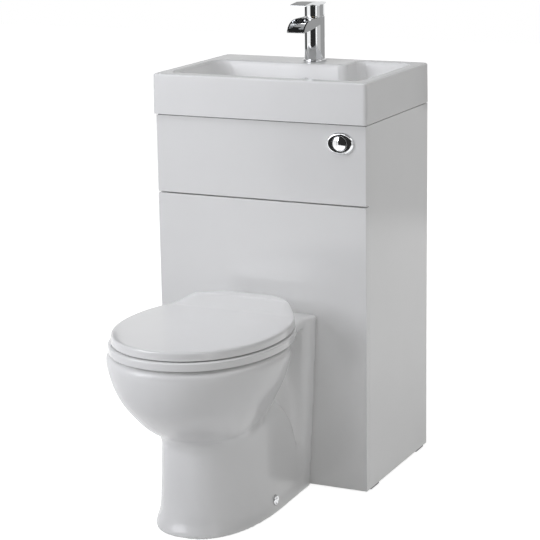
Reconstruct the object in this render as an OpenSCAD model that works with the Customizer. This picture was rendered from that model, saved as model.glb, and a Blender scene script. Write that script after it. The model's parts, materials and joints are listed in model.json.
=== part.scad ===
// Toilet and basin combination unit: a cabinet that hides a cistern carries a
// ceramic basin with a waterfall mixer tap, and a back-to-wall pan stands at its front.
// Millimetres. +X to the right seen from the front, +Y towards the wall, +Z up.
// The origin is on the floor, below the centre of the whole unit.

/* [Overall] */
// Distance from the wall to the front tip of the seat
projection = 862; // [840:1:890]

/* [Cabinet] */
// Width across the side panels
cab_w = 494; // [484:1:520]
// Depth from the wall to the front face of the panels
cab_d = 361; // [350:1:375]
// Height of the top edges of the boards above the floor
cab_top = 803; // [790:1:830]
// Thickness of the side boards
side_t = 16; // [15:0.5:18]
// Thickness of the front boards
front_t = 16; // [15:0.5:18]
// Thickness of the rails and of the shelf
rail_t = 16; // [15:0.5:18]
// Height of the glides under the side boards
glide_h = 3.5; // [2:0.5:6]
// Height of the middle of the gap between the two front panels
split_z = 632; // [615:1:645]
// Gap between the two front panels
split_gap = 3; // [2:0.5:4]

/* [Basin] */
// How far the basin's sides stand out over the cabinet's
bas_over = 3; // [1:0.5:6]
// Outside depth of the basin
bas_d = 364; // [352:1:376]
// Height of the basin's skirt
bas_h = 88; // [82:1:96]
// Gap left for sealant between the basin and the wall
bas_back = 4; // [2:0.5:6]
// Height of the sealing strip under the basin
seal_t = 3; // [2:0.5:5]
// Width of the front rim
rim_front = 30; // [26:1:34]
// Width of the side rims
rim_side = 27; // [24:1:32]
// Width of the back rim behind the right-hand recess
rim_back = 25; // [20:1:34]
// Depth of the tap deck, from the basin's back
deck_d = 104; // [96:1:112]
// Width of the recess between the deck and the right-hand rim
recess_w = 130; // [112:1:142]
// Depth of the bowl below the rim
bowl_depth = 104; // [90:1:108]
// Thickness of the ceramic
wall_t = 11; // [9:0.5:13]

/* [Tap] */
// Diameter of the tap's body
tap_dia = 46; // [42:1:50]
// Height of the body up to the joint below the lever
tap_h = 100; // [92:1:110]
// Distance of the tap's axis from the basin's back
tap_back = 60; // [56:1:62]
// Reach of the spout's lip from the tap's axis
spout_reach = 102; // [90:1:115]
// Length of the lever's plate in front of the tap's axis
lever_len = 88; // [76:1:100]
// Width of the lever's plate
lever_w = 38; // [32:1:42]

/* [Flush button] */
// Distance of the button's middle from the cabinet's right-hand edge
button_inset = 57; // [55:1:90]
// Height of the bowl's floor above the button's middle
button_drop = 25; // [24:1:50]
// Width of the oval bezel
bezel_w = 62; // [58:1:70]
// Height of the oval bezel
bezel_h = 48.6; // [46:0.2:56]
// How far the bezel stands out of the panel
bezel_t = 7.5; // [6:0.5:9]
// Radius of the split round button
button_r = 16.4; // [15:0.2:17]

/* [Cistern] */
// Room beside the tank for the water tails
tank_gap = 56; // [54:1:70]
// Depth of the tank, front to back
tank_d = 138; // [125:1:142]
// Room between the tank's rim and the waste pipe above it
tank_clear = 13; // [12:1:30]
// Wall of the tank
tank_wall = 4; // [3:0.5:5]
// Height of the shelf's top above the floor
shelf_z = 412; // [408:1:418]
// Lift of the flush valve
valve_lift = 20; // [16:1:24]

/* [Pan] */
// Height of the pan's rim
rim_z = 384; // [380:1:386]
// Height of the raised deck that carries the hinges
deck_z = 391; // [389:0.5:392]
// How far the pan's greatest width stands in from the seat's
pan_inset = 2; // [0:0.5:6]
// Half of the width of the foot
foot_hw = 112; // [104:1:116]
// Length of the foot from the panel to its tip
foot_len = 386; // [370:1:400]
// Height of the middle of the soil outlet
soil_z = 185; // [180:1:190]
// Radius of the pan's outlet spigot
spigot_r = 51; // [50:0.5:52]
// Outer radius of the soil pipe at the wall
soil_r = 55; // [55:0.5:56]
// Height of the flush water inlet
inlet_z = 335; // [330:1:340]

/* [Seat and lid] */
// Half of the seat's width
seat_hw = 180; // [174:1:184]
// Thickness of the seat
seat_t = 17.5; // [16:0.5:18.5]
// Height of the gap under the seat that the buffers fill
buffer_t = 2.5; // [2:0.5:3]
// How far the lid's edge stands in from the seat's
lid_inset = 8; // [5:0.5:9]
// Height of the lid's edge
lid_t = 17; // [15:0.5:19]
// Rise of the lid's top above its edge, over the hinges
lid_hump = 16; // [12:1:18]
// Half of the distance between the hinge posts
hinge_x = 62; // [61:0.5:66]

/* [Hidden] */
$fn = 64;

// A hair that carries a cut through a face
eps = 0.5;
// Clearance between a turning pin and its bore
run_fit = 0.05;
// Clearance of loose holes
loose = 0.6;

// Wall plane and the distance measured from it
wall_y = projection / 2;
function yw(d) = wall_y - d;

// Cabinet
face_y = yw(cab_d);
side_y0 = face_y + front_t;
in_x = cab_w / 2 - side_t;
rail_h = 58;
mid_rail_z = split_z - 35;
cam_r = 7.5;
cam_h = 11;
base_rail_z = 20;

// Basin
bas_w = cab_w + 2 * bas_over;
bas_z0 = cab_top + seal_t;
bas_z1 = bas_z0 + bas_h;
bas_y0 = yw(bas_back + bas_d);
bas_y1 = yw(bas_back);
bowl_x0 = -bas_w / 2 + rim_side;
bowl_x1 = bas_w / 2 - rim_side;
deck_end = bowl_x1 - recess_w;
bowl_y0 = bas_y0 + rim_front;
deck_y = bas_y1 - deck_d;
rec_y = bas_y1 - rim_back;
bowl_z = bas_z1 - bowl_depth;
skirt_t = 14;
top_t = 15;
waste_x = 0;
waste_y = (bowl_y0 + deck_y) / 2 + 6;
waste_r = 22.5;
boss_z = bowl_z - wall_t - 12;
overflow_z = bas_z1 - 42;
overflow_r = 11;
plate_r = 24;
chan_y1 = bas_y1 - tap_back - plate_r - 0.5;

// Tap
tap_x = 0;
tap_y = bas_y1 - tap_back;
tap_hole_r = 17.5;
tap_r = tap_dia / 2;
ring_h = 6;
tap_z0 = bas_z1;
tap_z1 = tap_z0 + tap_h;
cart_r = 17.5;
stud_r = 4;
tail_r = 5.5;

// Waste and trap
plug_lift = 8;
tail_end_z = boss_z - 38;
trap_z1 = tail_end_z;
trap_z0 = trap_z1 - 88;
trap_r = 32;
pipe_r = 16;
push_r = pipe_r - 0.5;
push_y1 = waste_y + 50;
pipe_z = trap_z1 - 20;

// Cistern
tank_w = 2 * (in_x - tank_gap);
tank_y1 = yw(14);
tank_y0 = tank_y1 - tank_d;
tank_yc = (tank_y0 + tank_y1) / 2;
tank_z1 = pipe_z - pipe_r - tank_clear;
floor_in = shelf_z + tank_wall;
valve_x = 0;
seat_z = floor_in + 18;
// Underside of the valve cage's ring, clear of the lifted piston
cage_z = seat_z + 35 + valve_lift;
inlet_x = 35 - tank_w / 2;

// Flush button
button_x = cab_w / 2 - button_inset;
button_z = bowl_z - button_drop;
sleeve_r = 20;
sleeve_len = 44;
btn_gap = 0.2;
btn_len = 17;

// Pan
pan_hw = seat_hw - pan_inset;
pan_y1 = face_y;
tip_y = -wall_y;
// Lengths and places along the pan follow its length; the places are measured from
// the panel
function pl(l) = l * (pan_y1 - tip_y) / 501;
function py(d) = pan_y1 - pl(d);
bowl_yc = py(283);
seat_yc = py(274);
seat_len = seat_yc - tip_y;
deck_front = py(90);
flange_t = 44;
cap_y = py(182);
cap_z = 28;
cap_x = foot_hw - 3.5;

// Seat, lid and hinges
seat_z0 = rim_z + buffer_t;
seat_z1 = seat_z0 + seat_t;
lid_z0 = seat_z1 + buffer_t;
hinge_y = py(70);
hinge_z = seat_z1 + 8;
pin_r = 4;
lid_rear = hinge_y + 13;
seat_rear = hinge_y - 24;

// ---------- helpers ----------
function flat(l) = [for (a = l) each a];
function sgn(v) = v < 0 ? -1 : 1;
function smooth(t) = let (u = min(1, max(0, t))) u * u * (3 - 2 * u);
// Ring of an egg-shaped outline: half-width a, front length b, rear length c
function egg(a, b, c, yc, z, n = 2.1, m = 2.1, seg = 48) =
  [for (i = [0 : seg - 1]) let (t = 360 * i / seg, s = sin(t), e = s < 0 ? n : m)
    [a * sgn(cos(t)) * pow(abs(cos(t)), 2 / e),
     yc + (s < 0 ? b : c) * sgn(s) * pow(abs(s), 2 / e), z]];
// One rounded corner of an axis-aligned polygon, inside or outside
function corner(p, q, r, rad, seg = 6) =
  let (u = (p - q) / norm(p - q), v = (r - q) / norm(r - q), c = q + (u + v) * rad)
  [for (i = [0 : seg]) let (a = 90 * i / seg) c - v * rad * cos(a) - u * rad * sin(a)];
// Closed skin over a stack of rings that run anticlockwise, lowest first. Each end is
// a fan from the ring's point hub, which sees the whole of its outline
module loft(rings, closed = false, hub = 0) {
  n = len(rings[0]);
  k = len(rings);
  top = closed ? k : k - 1;
  fan = closed ? [] : [for (i = [1 : n - 2]) [hub, (hub + i) % n, (hub + i + 1) % n]];
  polyhedron(points = flat(rings), convexity = 8, faces = concat(fan,
    [for (j = [0 : top - 1], i = [0 : n - 1]) let (a = j * n, b = ((j + 1) % k) * n, h = (i + 1) % n)
      [a + i, b + i, b + h]],
    [for (j = [0 : top - 1], i = [0 : n - 1]) let (a = j * n, b = ((j + 1) % k) * n, h = (i + 1) % n)
      [a + i, b + h, a + h]],
    [for (f = fan) [for (i = [2 : -1 : 0]) (k - 1) * n + f[i]]]));
}
// Round hose through points, each ring square to its run
module hose(pts, r, sides = 8) {
  k = len(pts);
  dir = [for (i = [0 : k - 1]) let (d = pts[min(k - 1, i + 1)] - pts[max(0, i - 1)]) d / norm(d)];
  side = [for (d = dir) let (s = cross(d, abs(d[1]) < 0.95 ? [0, 1, 0] : [1, 0, 0])) s / norm(s)];
  loft([for (i = [0 : k - 1]) let (u = side[i], v = cross(dir[i], u))
    [for (j = [0 : sides - 1]) let (a = 360 * j / sides) pts[i] + r * (cos(a) * u + sin(a) * v)]]);
}
// Smooth path through control points by quadratic spans
function bend(p, seg = 5) = concat([p[0]],
  flat([for (i = [1 : len(p) - 2]) let (a = (p[i - 1] + p[i]) / 2, b = p[i], c = (p[i] + p[i + 1]) / 2)
    [for (j = [0 : seg]) let (t = j / seg)
      (1 - t) * (1 - t) * (i == 1 ? (p[0] + 3 * p[1]) / 4 : a) + 2 * t * (1 - t) * b
      + t * t * (i == len(p) - 2 ? (p[i + 1] + 3 * p[i]) / 4 : c)]]), [p[len(p) - 1]]);
module cyl_x(x0, x1, y, z, r) translate([x0, y, z]) rotate([0, 90, 0]) cylinder(r = r, h = x1 - x0);
module cyl_y(x, y0, y1, z, r) translate([x, y0, z]) rotate([-90, 0, 0]) cylinder(r = r, h = y1 - y0);
module cyl_z(x, y, z0, z1, r) translate([x, y, z0]) cylinder(r = r, h = z1 - z0);
module box(x0, x1, y0, y1, z0, z1) translate([x0, y0, z0]) cube([x1 - x0, y1 - y0, z1 - z0]);
module tube_z(x, y, z0, z1, ro, ri) difference() {
  cyl_z(x, y, z0, z1, ro);
  cyl_z(x, y, z0 - eps, z1 + eps, ri);
}
module tube_y(x, y0, y1, z, ro, ri) difference() {
  cyl_y(x, y0, y1, z, ro);
  cyl_y(x, y0 - eps, y1 + eps, z, ri);
}
module hex_z(x, y, z0, z1, r, bore) difference() {
  translate([x, y, z0]) cylinder(r = r, h = z1 - z0, $fn = 6);
  cyl_z(x, y, z0 - eps, z1 + eps, bore);
}
module both() {
  children();
  mirror([1, 0, 0]) children();
}

// ---------- cabinet ----------
module side_board(s)
  box(s > 0 ? in_x : -cab_w / 2, s > 0 ? cab_w / 2 : -in_x, side_y0, wall_y, glide_h, cab_top);
module side_panel_left() color("white") side_board(-1);
module side_panel_right() color("white") side_board(1);
module upper_front_panel() color("white") difference() {
  box(-cab_w / 2, cab_w / 2, face_y, side_y0, split_z + split_gap / 2, cab_top);
  cyl_y(button_x, face_y - eps, side_y0 + eps, button_z, sleeve_r + loose);
}
module lower_front_panel() color("white") difference() {
  box(-cab_w / 2, cab_w / 2, face_y, side_y0, glide_h, split_z - split_gap / 2);
  cyl_y(0, face_y - eps, side_y0 + eps, soil_z, spigot_r + 6);
  cyl_y(0, face_y - eps, side_y0 + eps, inlet_z, 30);
}
// Cam pockets near both ends of a rail, cut from the face whose depth is y
module cam_bores(y, z, grow) both() cyl_y(in_x - 34, y, y + cam_h + 0.2 + grow, z, cam_r + grow);
top_rail_y0 = yw(28);
mid_rail_y0 = side_y0;
module top_rear_rail() color("gainsboro") difference() {
  box(-in_x, in_x, top_rail_y0, top_rail_y0 + rail_t, cab_top - rail_h, cab_top);
  cam_bores(top_rail_y0 - 0.2, cab_top - rail_h / 2, 0.1);
}
module middle_front_rail() color("gainsboro") difference() {
  box(-in_x, in_x, mid_rail_y0, mid_rail_y0 + rail_t, mid_rail_z, mid_rail_z + 70);
  translate([0, 2 * mid_rail_y0 + rail_t, 0]) mirror([0, 1, 0])
    cam_bores(mid_rail_y0 - 0.2, mid_rail_z + 35, 0.1);
}
module base_front_rail() color("gainsboro") difference() {
  box(-in_x, in_x, mid_rail_y0, mid_rail_y0 + rail_t, base_rail_z, base_rail_z + 60);
  translate([0, 2 * mid_rail_y0 + rail_t, 0]) mirror([0, 1, 0])
    cam_bores(mid_rail_y0 - 0.2, base_rail_z + 30, 0.1);
}
shelf_y0 = tank_y0 - 8;
notch_x = tank_w / 2 + 8;
module cistern_shelf() color("gainsboro") difference() {
  box(-in_x, in_x, shelf_y0, wall_y, shelf_z - rail_t, shelf_z);
  cyl_z(valve_x, tank_yc, shelf_z - rail_t - eps, shelf_z + eps, 44);
  cyl_z(inlet_x, tank_yc, shelf_z - rail_t - eps, shelf_z + eps, 24);
  both() box(notch_x, in_x + eps, shelf_y0 + 20, wall_y + eps, shelf_z - rail_t - eps, shelf_z + eps);
}
bracket_x = 150;
bracket_z = cab_top - rail_h;
module wall_brackets() color("silver") both() difference() {
  union() {
    box(bracket_x - 15, bracket_x + 15, wall_y - 2.5, wall_y, bracket_z - 34, bracket_z + 12);
    box(bracket_x - 15, bracket_x + 15, top_rail_y0, wall_y, bracket_z - 2.5, bracket_z);
  }
  cyl_y(bracket_x, wall_y - 4, wall_y + eps, bracket_z - 20, 3.25);
}
module cams(z) both() difference() {
  cyl_y(in_x - 34, 0, cam_h, z, cam_r);
  box(in_x - 38.5, in_x - 29.5, -eps, 2, z - 0.8, z + 0.8);
  box(in_x - 34.8, in_x - 33.2, -eps, 2, z - 4.5, z + 4.5);
}
module cam_fasteners() color("silver") {
  translate([0, top_rail_y0, 0]) cams(cab_top - rail_h / 2);
  for (z = [mid_rail_z + 35, base_rail_z + 30])
    translate([0, mid_rail_y0 + rail_t, 0]) mirror([0, 1, 0]) cams(z);
}
module panel_clips() color("gray") both()
  for (z = [120, 420, split_z + 60]) difference() {
    box(in_x - 22, in_x, side_y0, side_y0 + 22, z, z + 24);
    cyl_y(in_x - 12, side_y0 + 14, side_y0 + 23, z + 12, 4);
    translate([in_x - 22, side_y0 + 22, z - eps]) rotate([0, 0, -45]) translate([-20, 0, 0])
      cube([40, 12, 25]);
  }
module glides() color("dimgray") both() {
  box(in_x + 1, cab_w / 2 - 1, face_y + 26, face_y + 71, 0, glide_h);
  box(in_x + 1, cab_w / 2 - 1, wall_y - 63, wall_y - 18, 0, glide_h);
}

// ---------- basin ----------
module basin_seal() color("dimgray") difference() {
  box(-cab_w / 2 + 3, cab_w / 2 - 3, face_y + 4, yw(12), cab_top, bas_z0);
  box(-in_x, in_x, side_y0, top_rail_y0, cab_top - eps, bas_z0 + eps);
}
// L-shaped outline of the bowl; o grows it, f moves the walls in towards the bottom
function bowl_ring(o, f, z, r) =
  let (x0 = bowl_x0 - o + 104 * f, x1 = bowl_x1 + o - 46 * f, y0 = bowl_y0 - o + 36 * f,
       yd = deck_y + o - 34 * f, y2 = rec_y + o - 34 * f, xm = deck_end - o + 26 * f,
       q = [[x0, y0], [x1, y0], [x1, y2], [xm, y2], [xm, yd], [x0, yd]],
       rr = [r, r, r, min(r, 18), 20, r + 8])
  flat([for (i = [0 : 5]) [for (c = corner(q[(i + 5) % 6], q[i], q[(i + 1) % 6], rr[i])) [c[0], c[1], z]]]);
// Depth below the rim and share of the walls' slope
bowl_levels = [[0.985, 1.0], [0.95, 0.84], [0.9, 0.7], [0.82, 0.56], [0.7, 0.43],
               [0.45, 0.26], [0.2, 0.11], [0.045, 0.02]];
module bowl_floor(o, z, r) translate([0, 0, z]) linear_extrude(0.04 * bowl_depth)
  polygon([for (p = bowl_ring(o, 0.92, 0, r)) [p[0], p[1]]]);
module bowl_inner() {
  bowl_floor(0, bowl_z, 26);
  loft(concat([for (l = bowl_levels) bowl_ring(0, l[1], bas_z1 - bowl_depth * l[0], 26)],
    [bowl_ring(1.3, 0, bas_z1 - 1.2, 26), bowl_ring(4, 0, bas_z1, 28),
     bowl_ring(4, 0, bas_z1 + 1, 28)]), hub = 10);
}
module bowl_outer() {
  bowl_floor(wall_t, bowl_z - wall_t, 30);
  loft(concat([for (l = bowl_levels) bowl_ring(wall_t, l[1], bas_z1 - bowl_depth * l[0] - wall_t, 30)],
    [bowl_ring(wall_t - 1, 0, bas_z1 - 6, 30)]), hub = 10);
}
module block(x0, x1, y0, y1, z0, z1, r, e, grow) hull()
  for (x = [x0, x1], y = [y0, y1]) {
    sx = x == x0 ? 1 : -1;
    sy = y == y0 ? 1 : -1;
    translate([x + sx * (r - grow), y + sy * (r - grow), z0]) cylinder(r = r, h = 0.1, $fn = 32);
    translate([x + sx * r, y + sy * r, z1 - e]) rotate_extrude($fn = 32)
      translate([r - e, 0]) intersection() { circle(r = e, $fn = 32); square(e); }
  }
module basin() color("white") difference() {
  union() {
    difference() {
      block(-bas_w / 2, bas_w / 2, bas_y0, bas_y1, bas_z0, bas_z1, 8, 4, 0.8);
      box(-bas_w / 2 + skirt_t, bas_w / 2 - skirt_t, bas_y0 + skirt_t, bas_y1 - skirt_t,
          bas_z0 - eps, bas_z1 - top_t);
    }
    bowl_outer();
    // waste boss, and the overflow's channel down to it
    cyl_z(waste_x, waste_y, boss_z, bowl_z - 4, 40);
    box(-24, 24, waste_y, chan_y1, boss_z, bowl_z - 4);
    box(-24, 24, deck_y - 22, chan_y1, boss_z, bas_z1 - 6);
  }
  bowl_inner();
  cyl_z(waste_x, waste_y, boss_z - eps, bowl_z + 20, waste_r);
  translate([waste_x, waste_y, bowl_z - 4.01]) cylinder(r = 34, h = 8);
  cyl_z(tap_x, tap_y, bas_z1 - 60, bas_z1 + eps, tap_hole_r);
  cyl_y(0, deck_y - 30, chan_y1 - 5, overflow_z, overflow_r);
  box(-15, 15, chan_y1 - 15, chan_y1 - 5, boss_z + 5, overflow_z + 8);
  box(-15, 15, waste_y, chan_y1 - 5, boss_z + 5, boss_z + 12);
}
module overflow_trim() color("silver") difference() {
  union() {
    hull() for (x = [-16, 16]) cyl_y(x, deck_y - 15.5, deck_y - 12, overflow_z, 8);
    cyl_y(0, deck_y - 15, deck_y + 4, overflow_z, overflow_r - 0.3);
  }
  cyl_y(0, deck_y - 20, deck_y + 5, overflow_z, 7);
}
// ---------- waste and trap ----------
module waste_flange() color("silver") difference() {
  union() {
    cyl_z(waste_x, waste_y, bowl_z - 4, bowl_z - 1, 33);
    cyl_z(waste_x, waste_y, tail_end_z, bowl_z - 2, waste_r - loose);
  }
  cyl_z(waste_x, waste_y, tail_end_z - eps, bowl_z, waste_r - 4);
  box(-6, 6, waste_y + 14, waste_y + 26, boss_z + 5, boss_z + 12);
}
module waste_plug() color("silver") {
  cyl_z(waste_x, waste_y, bowl_z - 1 + plug_lift, bowl_z + 2.5 + plug_lift, 31);
  cyl_z(waste_x, waste_y, bowl_z - 24 + plug_lift, bowl_z - 1 + plug_lift, 6);
  cyl_z(waste_x, waste_y, bowl_z - 34 + plug_lift, bowl_z - 24 + plug_lift, waste_r - 4 - 0.3);
}
module waste_nut() color("gray") {
  tube_z(waste_x, waste_y, boss_z - 3, boss_z, 32, waste_r);
  hex_z(waste_x, waste_y, boss_z - 13, boss_z - 3, 36, waste_r);
}
module trap_body() color("white") difference() {
  union() {
    cyl_z(waste_x, waste_y, trap_z0, trap_z1, trap_r);
    cyl_y(waste_x, waste_y, waste_y + 44, pipe_z, pipe_r + 3);
  }
  translate([waste_x, waste_y, trap_z0 - eps]) difference() {
    cylinder(r = trap_r - 3, h = trap_z1 - trap_z0 - 3 + eps);
    cylinder(r = pipe_r, h = trap_z1 - trap_z0 + 1);
  }
  cyl_z(waste_x, waste_y, trap_z0 - eps, trap_z1 + eps, pipe_r - 2.5);
  cyl_y(waste_x, waste_y + 24, waste_y + 45, pipe_z, push_r + 0.2);
}
module trap_cup() color("white") difference() {
  union() {
    cyl_z(waste_x, waste_y, trap_z0 - 34, trap_z0, trap_r + 1);
    tube_z(waste_x, waste_y, trap_z0 - 0.01, trap_z0 + 18, trap_r + 4, trap_r + 0.2);
    tube_z(waste_x, waste_y, trap_z0 - 10, trap_z0, trap_r + 4, trap_r - 2);
  }
  cyl_z(waste_x, waste_y, trap_z0 - 30, trap_z0 + eps, trap_r - 3);
}
module trap_nuts() color("white") {
  difference() {
    cyl_z(waste_x, waste_y, trap_z1, trap_z1 + 20, 29);
    cyl_z(waste_x, waste_y, trap_z1 - eps, trap_z1 + 21, waste_r);
    for (i = [0 : 11]) rotate_about(waste_x, waste_y, 30 * i)
      cyl_z(waste_x + 30.5, waste_y, trap_z1 - eps, trap_z1 + 21, 3);
  }
  tube_y(waste_x, waste_y + 34, push_y1, pipe_z, pipe_r + 6, pipe_r + 3.1);
  tube_y(waste_x, waste_y + 44.05, push_y1, pipe_z, pipe_r + 4, push_r + 0.15);
}
module rotate_about(x, y, a) translate([x, y, 0]) rotate([0, 0, a]) translate([-x, -y, 0]) children();
// The pipe's pushed-in end is turned down, up to a shoulder at the nut
module trap_outlet_pipe() color("white") difference() {
  union() {
    cyl_y(waste_x, waste_y + 26, push_y1 + 1, pipe_z, push_r);
    cyl_y(waste_x, push_y1 + 0.2, wall_y - 1, pipe_z, pipe_r);
  }
  cyl_y(waste_x, waste_y + 25, wall_y, pipe_z, pipe_r - 2);
}

// ---------- tap ----------
// Side view of the spout, as distance in front of the tap's axis and height: the rims
// run level, then curl down to the lip
spout_w = 42;
lip_drop = 24;
spout_t = 3.5;
function rim_line(t) = let (f = max(0, (t - 0.55) / 0.45))
  [-spout_reach * t, tap_h - lip_drop * (1 - sqrt(1 - f * f * 0.97)) / (1 - sqrt(0.03))];
function floor_line(t) = rim_line(t) - [0, 9 * (1 - 0.75 * pow(t, 8))];
module side_extrude(w) translate([tap_x, tap_y, tap_z0]) rotate([90, 0, 90]) translate([0, 0, -w / 2])
  linear_extrude(w) children();
module tap_body() color("silver") difference() {
  union() {
    cyl_z(tap_x, tap_y, tap_z0, tap_z0 + ring_h, tap_r + 2);
    cyl_z(tap_x, tap_y, tap_z0 + ring_h - 0.1, tap_z1, tap_r);
    side_extrude(spout_w) polygon(concat([for (i = [0 : 20]) rim_line(i / 20)],
      [[-spout_reach + 1, tap_h - lip_drop - 2.5], [-spout_reach * 0.7, tap_h - lip_drop],
       [-spout_reach * 0.45, tap_h - 21], [-tap_r, tap_h - 17], [0, tap_h - 15]]));
  }
  // water channel, open at the top and at the lip
  side_extrude(spout_w - 2 * spout_t) polygon(concat([for (i = [8 : 20]) floor_line(i / 20)],
    [[-spout_reach - 5, tap_h - lip_drop - 1], [-spout_reach - 5, tap_h + 5],
     [-spout_reach * 0.4, tap_h + 5]]));
  // cartridge seat, the waterways' chamber and the slot that feeds the channel
  cyl_z(tap_x, tap_y, tap_z0 + 40, tap_z1 + eps, cart_r);
  cyl_z(tap_x, tap_y, tap_z0 - eps, tap_z0 + 36, 14);
  box(-12, 12, tap_y - spout_reach * 0.42, tap_y - cart_r + 1, tap_z1 - 8, tap_z1 - 4);
}
module tap_cartridge() color("gray") difference() {
  union() {
    cyl_z(tap_x, tap_y, tap_z0 + 40, tap_z1 - 12, cart_r - 0.1);
    cyl_z(tap_x, tap_y, tap_z1 - 12, tap_z1 - 3, 14);
  }
  cyl_z(tap_x, tap_y, tap_z1 - 30, tap_z1 + eps, 7 + run_fit);
}
spin_z = tap_z1 + 9;
module tap_spindle() color("gray") {
  cyl_z(tap_x, tap_y, tap_z1 - 29, tap_z1 + 3, 7);
  difference() {
    box(-7, 7, tap_y - 6, tap_y + 6, tap_z1 + 2, spin_z + 4);
    cyl_x(-8, 8, tap_y, spin_z, 2.5);
  }
  cyl_x(-11, 11, tap_y, spin_z, 2.5);
}
lever_tilt = 18;
module lever_side() translate([0, tap_h]) polygon([[tap_r - 0.5, 29], [tap_r - 0.5, 31], [0, 34],
  [-lever_len * 0.6, 37], [-lever_len + 4, 34], [-lever_len, 32], [-lever_len, 30.5],
  [-lever_len * 0.6, 31.5], [-tap_r - 3, 27], [0, 24]]);
module tap_lever() color("silver") difference() {
  union() {
    cyl_z(tap_x, tap_y, tap_z1 + 2, tap_z1 + 28, tap_r - 0.5);
    side_extrude(lever_w) lever_side();
  }
  // hollow for the spindle, and the wedge that lets the lever tip back
  box(-8, 8, tap_y - 15, tap_y + 15, tap_z1, tap_z1 + 17);
  cyl_x(-11.3, 11.3, tap_y, spin_z, 2.5 + run_fit);
  side_extrude(tap_dia + 4) polygon([[3, tap_h + 1.9], [tap_r + 2, tap_h + 1.9],
    [tap_r + 2, tap_h + 2.6 + (tap_r - 1) * tan(lever_tilt)]]);
}
module tap_stud() color("goldenrod") cyl_z(tap_x, tap_y + 9, bas_z1 - 66, bas_z1 + 30, stud_r);
module tap_backplate() color("silver") difference() {
  cyl_z(tap_x, tap_y, bas_z1 - top_t - 3.5, bas_z1 - top_t, plate_r);
  cyl_z(tap_x, tap_y + 9, bas_z1 - top_t - 5, bas_z1 - top_t + eps, stud_r);
  for (s = [-1, 1]) hull() {
    cyl_z(s * 8, tap_y - 2, bas_z1 - top_t - 5, bas_z1 - top_t + eps, tail_r + 1);
    cyl_z(s * 8, tap_y - 30, bas_z1 - top_t - 5, bas_z1 - top_t + eps, tail_r + 1);
  }
}
module tap_nut() color("goldenrod")
  hex_z(tap_x, tap_y + 9, bas_z1 - top_t - 12, bas_z1 - top_t - 3.5, 7.5, stud_r);
// Routes of the hoses, from the tap down beside the tank
tail_z1 = 330;
tail_x = in_x - 24;
tail_y = yw(90);
inlet_y = tail_y - 40;
function tail_route(s) = bend([[s * 8, tap_y - 2, bas_z1 + 20], [s * 8, tap_y - 2, bas_z1 - 40],
  [s * 14, tap_y - 2, bas_z1 - 110], [s * 80, tap_y - 10, bas_z1 - 150], [s * tail_x, tail_y, bas_z1 - 154],
  [s * tail_x, tail_y, bas_z1 - 250], [s * tail_x, tail_y, tail_z1 + 16]]);
module braided(s) {
  hose(tail_route(s), tail_r);
  difference() {
    cyl_z(s * tail_x, tail_y, tail_z1, tail_z1 + 18, 13);
    cyl_z(s * tail_x, tail_y, tail_z1 - eps, tail_z1 + 14, 9.3);
  }
}
module hot_tail() color("silver") braided(-1);
module cold_tail() color("silver") braided(1);
module tail_clips() color("white") difference() {
  union() {
    both() for (z = [372, 560]) box(tail_x - 10, in_x, tail_y - 12, tail_y + 12, z, z + 10);
    box(-in_x, -tail_x + 10, inlet_y - 12, inlet_y + 12, tail_z1 - 64, tail_z1 - 54);
  }
  both() cyl_z(tail_x, tail_y, 300, 600, tail_r + 0.3);
  cyl_z(-tail_x, inlet_y, tail_z1 - 90, tail_z1 - 30, tail_r + 0.3);
}

// ---------- cistern ----------
module cistern_tank() color("whitesmoke") difference() {
  hull() for (x = [-tank_w / 2 + 14, tank_w / 2 - 14], y = [tank_y0 + 14, tank_y1 - 14])
    cyl_z(x, y, shelf_z, tank_z1, 14);
  hull() for (x = [-tank_w / 2 + 14, tank_w / 2 - 14], y = [tank_y0 + 14, tank_y1 - 14])
    cyl_z(x, y, floor_in, tank_z1 + eps, 14 - tank_wall);
  cyl_z(valve_x, tank_yc, shelf_z - eps, floor_in + eps, 24);
  cyl_z(inlet_x, tank_yc, shelf_z - eps, floor_in + eps, 10.6);
}
gland_x = 62;
lid_th = 3;
module cistern_lid() color("whitesmoke") difference() {
  union() {
    hull() for (x = [-tank_w / 2 + 14, tank_w / 2 - 14], y = [tank_y0 + 14, tank_y1 - 14])
      cyl_z(x, y, tank_z1, tank_z1 + lid_th, 14);
    difference() {
      hull() for (x = [-tank_w / 2 + 14, tank_w / 2 - 14], y = [tank_y0 + 14, tank_y1 - 14])
        cyl_z(x, y, tank_z1 - 8, tank_z1 + 0.1, 14 - tank_wall - 0.4);
      box(-tank_w / 2 + 8, tank_w / 2 - 8, tank_y0 + 8, tank_y1 - 8, tank_z1 - 9, tank_z1 + 0.05);
    }
    cyl_z(gland_x, tank_yc, tank_z1, tank_z1 + 8, 8);
  }
  cyl_z(gland_x, tank_yc, tank_z1 - 1, tank_z1 + 9, 3.3);
}
rod_top = floor_in + 190;
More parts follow.
